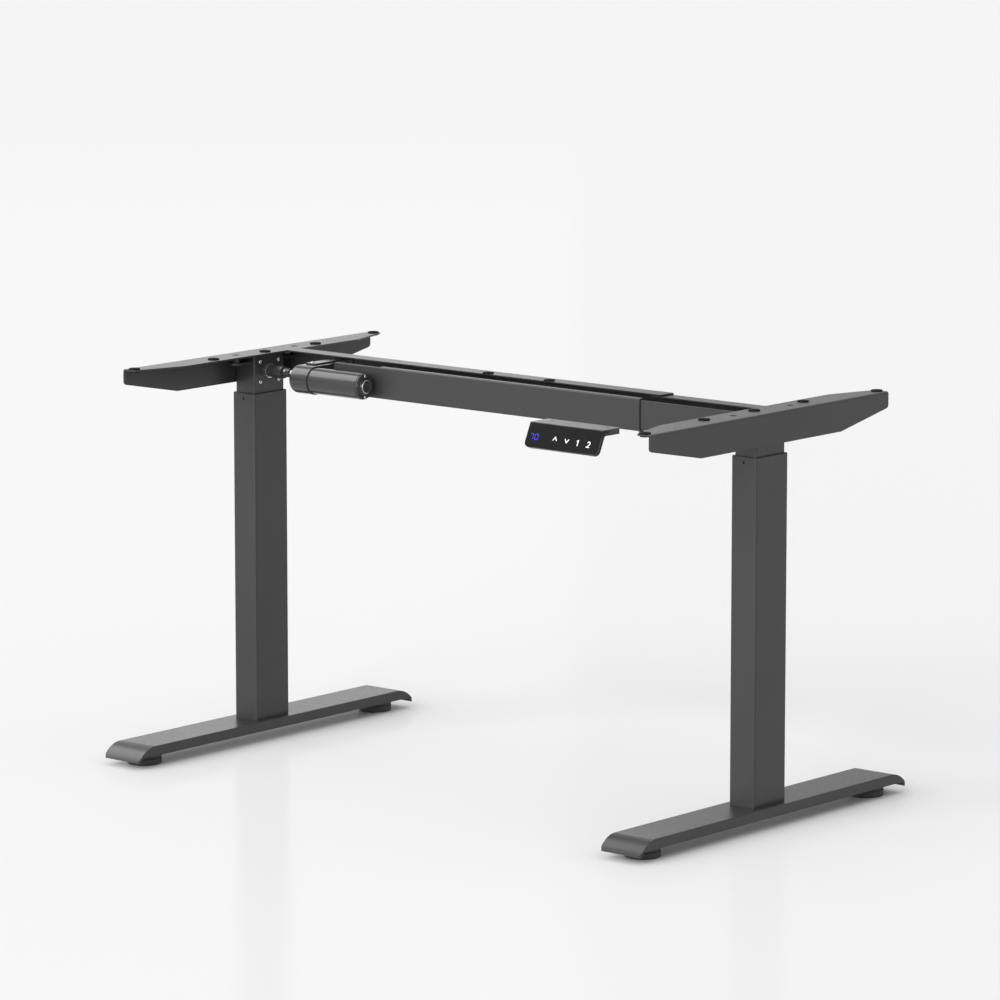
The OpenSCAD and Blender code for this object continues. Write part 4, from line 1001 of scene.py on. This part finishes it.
# %% Place the beads
EAR_T = 4 * MM
BEAD_END_IN = 2 * MM
BEAD_SIZE = 1.1 * MM
BEAD_SEED = 7
for side in SIDES:
    ear_low, ear_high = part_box(f"{side}_ears")
    tube_low, tube_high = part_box(f"{side}_inner_tube")
    points = [
        (x, y, z)
        for y in (tube_low.y, tube_high.y)
        for z in (ear_low.z, ear_low.z + EAR_T)
        for x in (ear_low.x + BEAD_END_IN, ear_high.x - BEAD_END_IN)
    ]
    lines = bpy.data.meshes.new(f"{side}_bead_lines")
    lines.from_pydata(points, [(i, i + 1) for i in range(0, len(points), 2)], [])
    beads = run_tree(
        f"{side}_weld_beads", lines, BEAD, crease=80,
        Spacing=BEAD_SIZE, Radius=BEAD_SIZE, Seed=BEAD_SEED, Finish=frame_paint,
    )
    settle(beads, f"{side}_head", "frame_paint")
print("weld beads with", len(beads.data.polygons), "faces a column")

# %% [markdown]
# ## Handset marks and display
# The handset's face is one gloss panel. White marks for up, down and the two stored heights
# are printed on the keys, and a two-digit display glows blue through the panel. Each mark is
# a thin layer of ink, a stroke of constant width extruded a few hundredths of a millimetre,
# so that it moves with its key and keeps its place from every side.

# %% Face coordinates
FACE_TILT = math.radians(25)
FACE_FRONT = -333 * MM
case_low, case_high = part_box("handset_case")
FACE_TOP = Vector((middle("handset_case").x, FACE_FRONT, case_high.z))
FACE_RIGHT = Vector((1, 0, 0))
FACE_UP = Vector((0, math.sin(FACE_TILT), math.cos(FACE_TILT)))
FACE_OUT = Vector((0, -math.cos(FACE_TILT), math.sin(FACE_TILT)))
FACE_LEFT_EDGE = (case_high.x - case_low.x) / 2
INK = 0.04 * MM
MITRE_LIMIT = 0.4


def on_face(points, lift):
    """Face points in millimetres, from the face's top left corner, x right and y down."""
    return [
        FACE_TOP + FACE_RIGHT * (x * MM - FACE_LEFT_EDGE) - FACE_UP * y * MM + FACE_OUT * lift
        for x, y in points
    ]


def stroke(bm, points, width):
    """Adds one printed stroke: a thin strip along the points, with mitred corners."""
    points = [Vector(p) for p in points]
    left, right = [], []
    for i, p in enumerate(points):
        before = (p - points[i - 1]).normalized() if i else (points[1] - p).normalized()
        after = (points[i + 1] - p).normalized() if i < len(points) - 1 else before
        mean = (before + after).normalized()
        side = Vector((-mean.y, mean.x))
        reach = width / 2 / max(MITRE_LIMIT, side.dot(Vector((-before.y, before.x))))
        left.append(p + side * reach)
        right.append(p - side * reach)
    layers = [
        [[bm.verts.new(v) for v in on_face(edge, lift)] for edge in (left, right)]
        for lift in (-INK, INK)
    ]
    for i in range(len(points) - 1):
        (l0, r0), (l1, r1) = layers
        bm.faces.new((l1[i], l1[i + 1], r1[i + 1], r1[i]))
        bm.faces.new((r0[i], r0[i + 1], l0[i + 1], l0[i]))
        bm.faces.new((l0[i], l0[i + 1], l1[i + 1], l1[i]))
        bm.faces.new((r1[i], r1[i + 1], r0[i + 1], r0[i]))
    for i in (0, len(points) - 1):
        bm.faces.new((layers[0][0][i], layers[1][0][i], layers[1][1][i], layers[0][1][i]))
    bmesh.ops.recalc_face_normals(bm, faces=bm.faces)


print("handset face leans", round(math.degrees(FACE_TILT)), "degrees")

# %% Printed marks
ink_white = moulded("printed_white", "f4f4f4", 3000.0, 0.45, 0.05, 0.2, 0.005 * MM)


def arc(cx, cy, rx, ry, start, stop, steps=10):
    angles = [math.radians(start + (stop - start) * i / steps) for i in range(steps + 1)]
    return [(cx + rx * math.cos(a), cy - ry * math.sin(a)) for a in angles]


# Each mark's middle on the face and its strokes about it, in millimetres.
MARKS = {
    "key_up": ((61.4, 23.6), [(-4.0, 3.0), (0, -3.0), (4.0, 3.0)]),
    "key_down": ((86.3, 24.6), [(-4.0, -3.0), (0, 3.0), (4.0, -3.0)]),
    "key_one": ((109.7, 26.0), [(-2.2, -2.6), (0.6, -4.6), (0.1, 4.6)]),
    "key_two": ((132.5, 26.2), arc(0.3, -1.9, 2.5, 2.7, 165, -40) + [(-2.7, 4.5), (2.6, 4.5)]),
}
MARK_WIDTH = 1.6
for key, ((across, down), points) in MARKS.items():
    ink = bmesh.new()
    stroke(ink, [(across + x, down + y) for x, y in points], MARK_WIDTH)
    settle(make_piece(key + "_mark", ink, ink_white), key, "panel_gloss")
print("marks on", ", ".join(MARKS))

# %% The display's glow
GLOW_BLUE = (0.02, 0.015, 0.5)
GLOW_STRENGTH = 0.9
glow = bpy.data.materials.new("display_glow")
glow.use_nodes = True
tree = glow.node_tree
shader = tree.nodes["Principled BSDF"]
flicker = add(tree, "ShaderNodeTexNoise", {
    "Vector": object_place(tree), "Scale": 500.0, "Detail": 1.0,
})
bright = spread(tree, flicker.outputs["Fac"], *USUAL, 0.75, 1.0)
blue = add(tree, "ShaderNodeVectorMath", {0: GLOW_BLUE, "Scale": bright}, operation="SCALE")
tree.links.new(blue.outputs[0], shader.inputs["Emission Color"])
tree.links.new(blue.outputs[0], shader.inputs["Base Color"])
shader.inputs["Emission Strength"].default_value = GLOW_STRENGTH
shader.inputs["Roughness"].default_value = 0.3
print("glow strength", GLOW_STRENGTH)

# %% Seven-segment display
DIGIT_W, DIGIT_H, LEAN = 6.6, 9.4, 0.10
FIRST_DIGIT_X, DIGIT_STEP, DIGIT_TOP = 8.5, 10.5, 19.5
SEGMENT_WIDTH, SEGMENT_GAP = 1.7, 0.75
SEGMENTS = {
    "a": ((0, 0), (1, 0)), "b": ((1, 0), (1, 0.5)), "c": ((1, 0.5), (1, 1)), "d": ((0, 1), (1, 1)),
    "e": ((0, 0.5), (0, 1)), "f": ((0, 0), (0, 0.5)), "g": ((0, 0.5), (1, 0.5)),
}
DIGITS = {"7": "abc", "0": "abcdef"}
display = bmesh.new()
for i, lit in enumerate(DIGITS.values()):
    left_edge = FIRST_DIGIT_X + DIGIT_STEP * i
    for segment in lit:
        a, b = (
            Vector((left_edge + x * DIGIT_W + (0.5 - y) * LEAN * DIGIT_H, DIGIT_TOP + y * DIGIT_H))
            for x, y in SEGMENTS[segment]
        )
        trim = (b - a).normalized() * SEGMENT_GAP
        stroke(display, [a + trim, b - trim], SEGMENT_WIDTH)
settle(make_piece("display_digits", display, glow), "right_head", "panel_gloss")
print("display shows", "".join(DIGITS))

# %% [markdown]
# ## Studio
# The photograph has a white sweep with a faint mirror of the legs in it and hardly any
# shadow. A very large pale floor with a little gloss gives both. An even white world and a
# broad, low key light from the front give the vertical faces their levels. Two panels that
# only glossy surfaces see put the pale sheen on the top faces and the highlights on the
# rounded noses of the feet and along the motor.

# %% Floor
FLOOR_HALF = 60.0
FLOOR_COLOUR = (0.85, 0.85, 0.86, 1)
FLOOR_GLOSS, FLOOR_ROUGHNESS = 0.045, 0.14
floor_mesh = bpy.data.meshes.new("studio_floor")
floor_mesh.from_pydata(
    [(x * FLOOR_HALF, y * FLOOR_HALF, 0) for x, y in ((-1, -1), (1, -1), (1, 1), (-1, 1))],
    [], [(0, 1, 2, 3)],
)
new_object("studio_floor", floor_mesh)
floor_finish = bpy.data.materials.new("studio_floor")
floor_finish.use_nodes = True
tree = floor_finish.node_tree
tree.nodes.clear()
matt = add(tree, "ShaderNodeBsdfDiffuse", {"Color": FLOOR_COLOUR})
shine = add(tree, "ShaderNodeBsdfGlossy", {"Color": (1, 1, 1, 1), "Roughness": FLOOR_ROUGHNESS})
blend = add(tree, "ShaderNodeMixShader", {
    "Fac": FLOOR_GLOSS, 1: matt.outputs[0], 2: shine.outputs[0],
})
add(tree, "ShaderNodeOutputMaterial", {"Surface": blend.outputs[0]})
floor_mesh.materials.append(floor_finish)
print("floor", 2 * FLOOR_HALF, "m across")

# %% World and key light
WORLD_STRENGTH = 0.76
KEY_ENERGY, KEY_ANGLE = 3.4, math.radians(60)
KEY_TIP, KEY_TURN = math.radians(74), math.radians(-4)
world = bpy.data.worlds.new("studio")
bpy.context.scene.world = world
world.use_nodes = True
background = world.node_tree.nodes["Background"]
background.inputs["Color"].default_value = (1, 1, 1, 1)
background.inputs["Strength"].default_value = WORLD_STRENGTH
key_light = bpy.data.lights.new("front_key", "SUN")
key_light.energy, key_light.angle = KEY_ENERGY, KEY_ANGLE
new_object("front_key", key_light).rotation_euler = (KEY_TIP, 0, KEY_TURN)
bpy.context.scene.view_settings.view_transform = "Standard"
print("key light from the front")


# %% Reflector panels
def reflector(name, at, towards, width, height, radiance):
    """A panel that is seen in glossy surfaces alone, so that the floor stays even."""
    light = bpy.data.lights.new(name, "AREA")
    light.shape = "RECTANGLE"
    light.size, light.size_y = width, height
    light.energy = radiance * math.pi * width * height
    panel = new_object(name, light)
    panel.location = at
    panel.rotation_mode = "QUATERNION"
    panel.rotation_quaternion = (Vector(towards) - Vector(at)).to_track_quat("-Z", "Y")
    panel.visible_diffuse = False
    panel.visible_camera = False


reflector(
    "back_reflector", at=(-12.0, 8.5, 4.0), towards=(-5.0, 1.5, 4.0),
    width=8.0, height=7.0, radiance=0.72,
)
reflector(
    "upper_left_reflector", at=(-2.4, -0.6, 2.4), towards=(0, 0, 0.4),
    width=2.0, height=2.0, radiance=4.0,
)
print("two reflector panels")
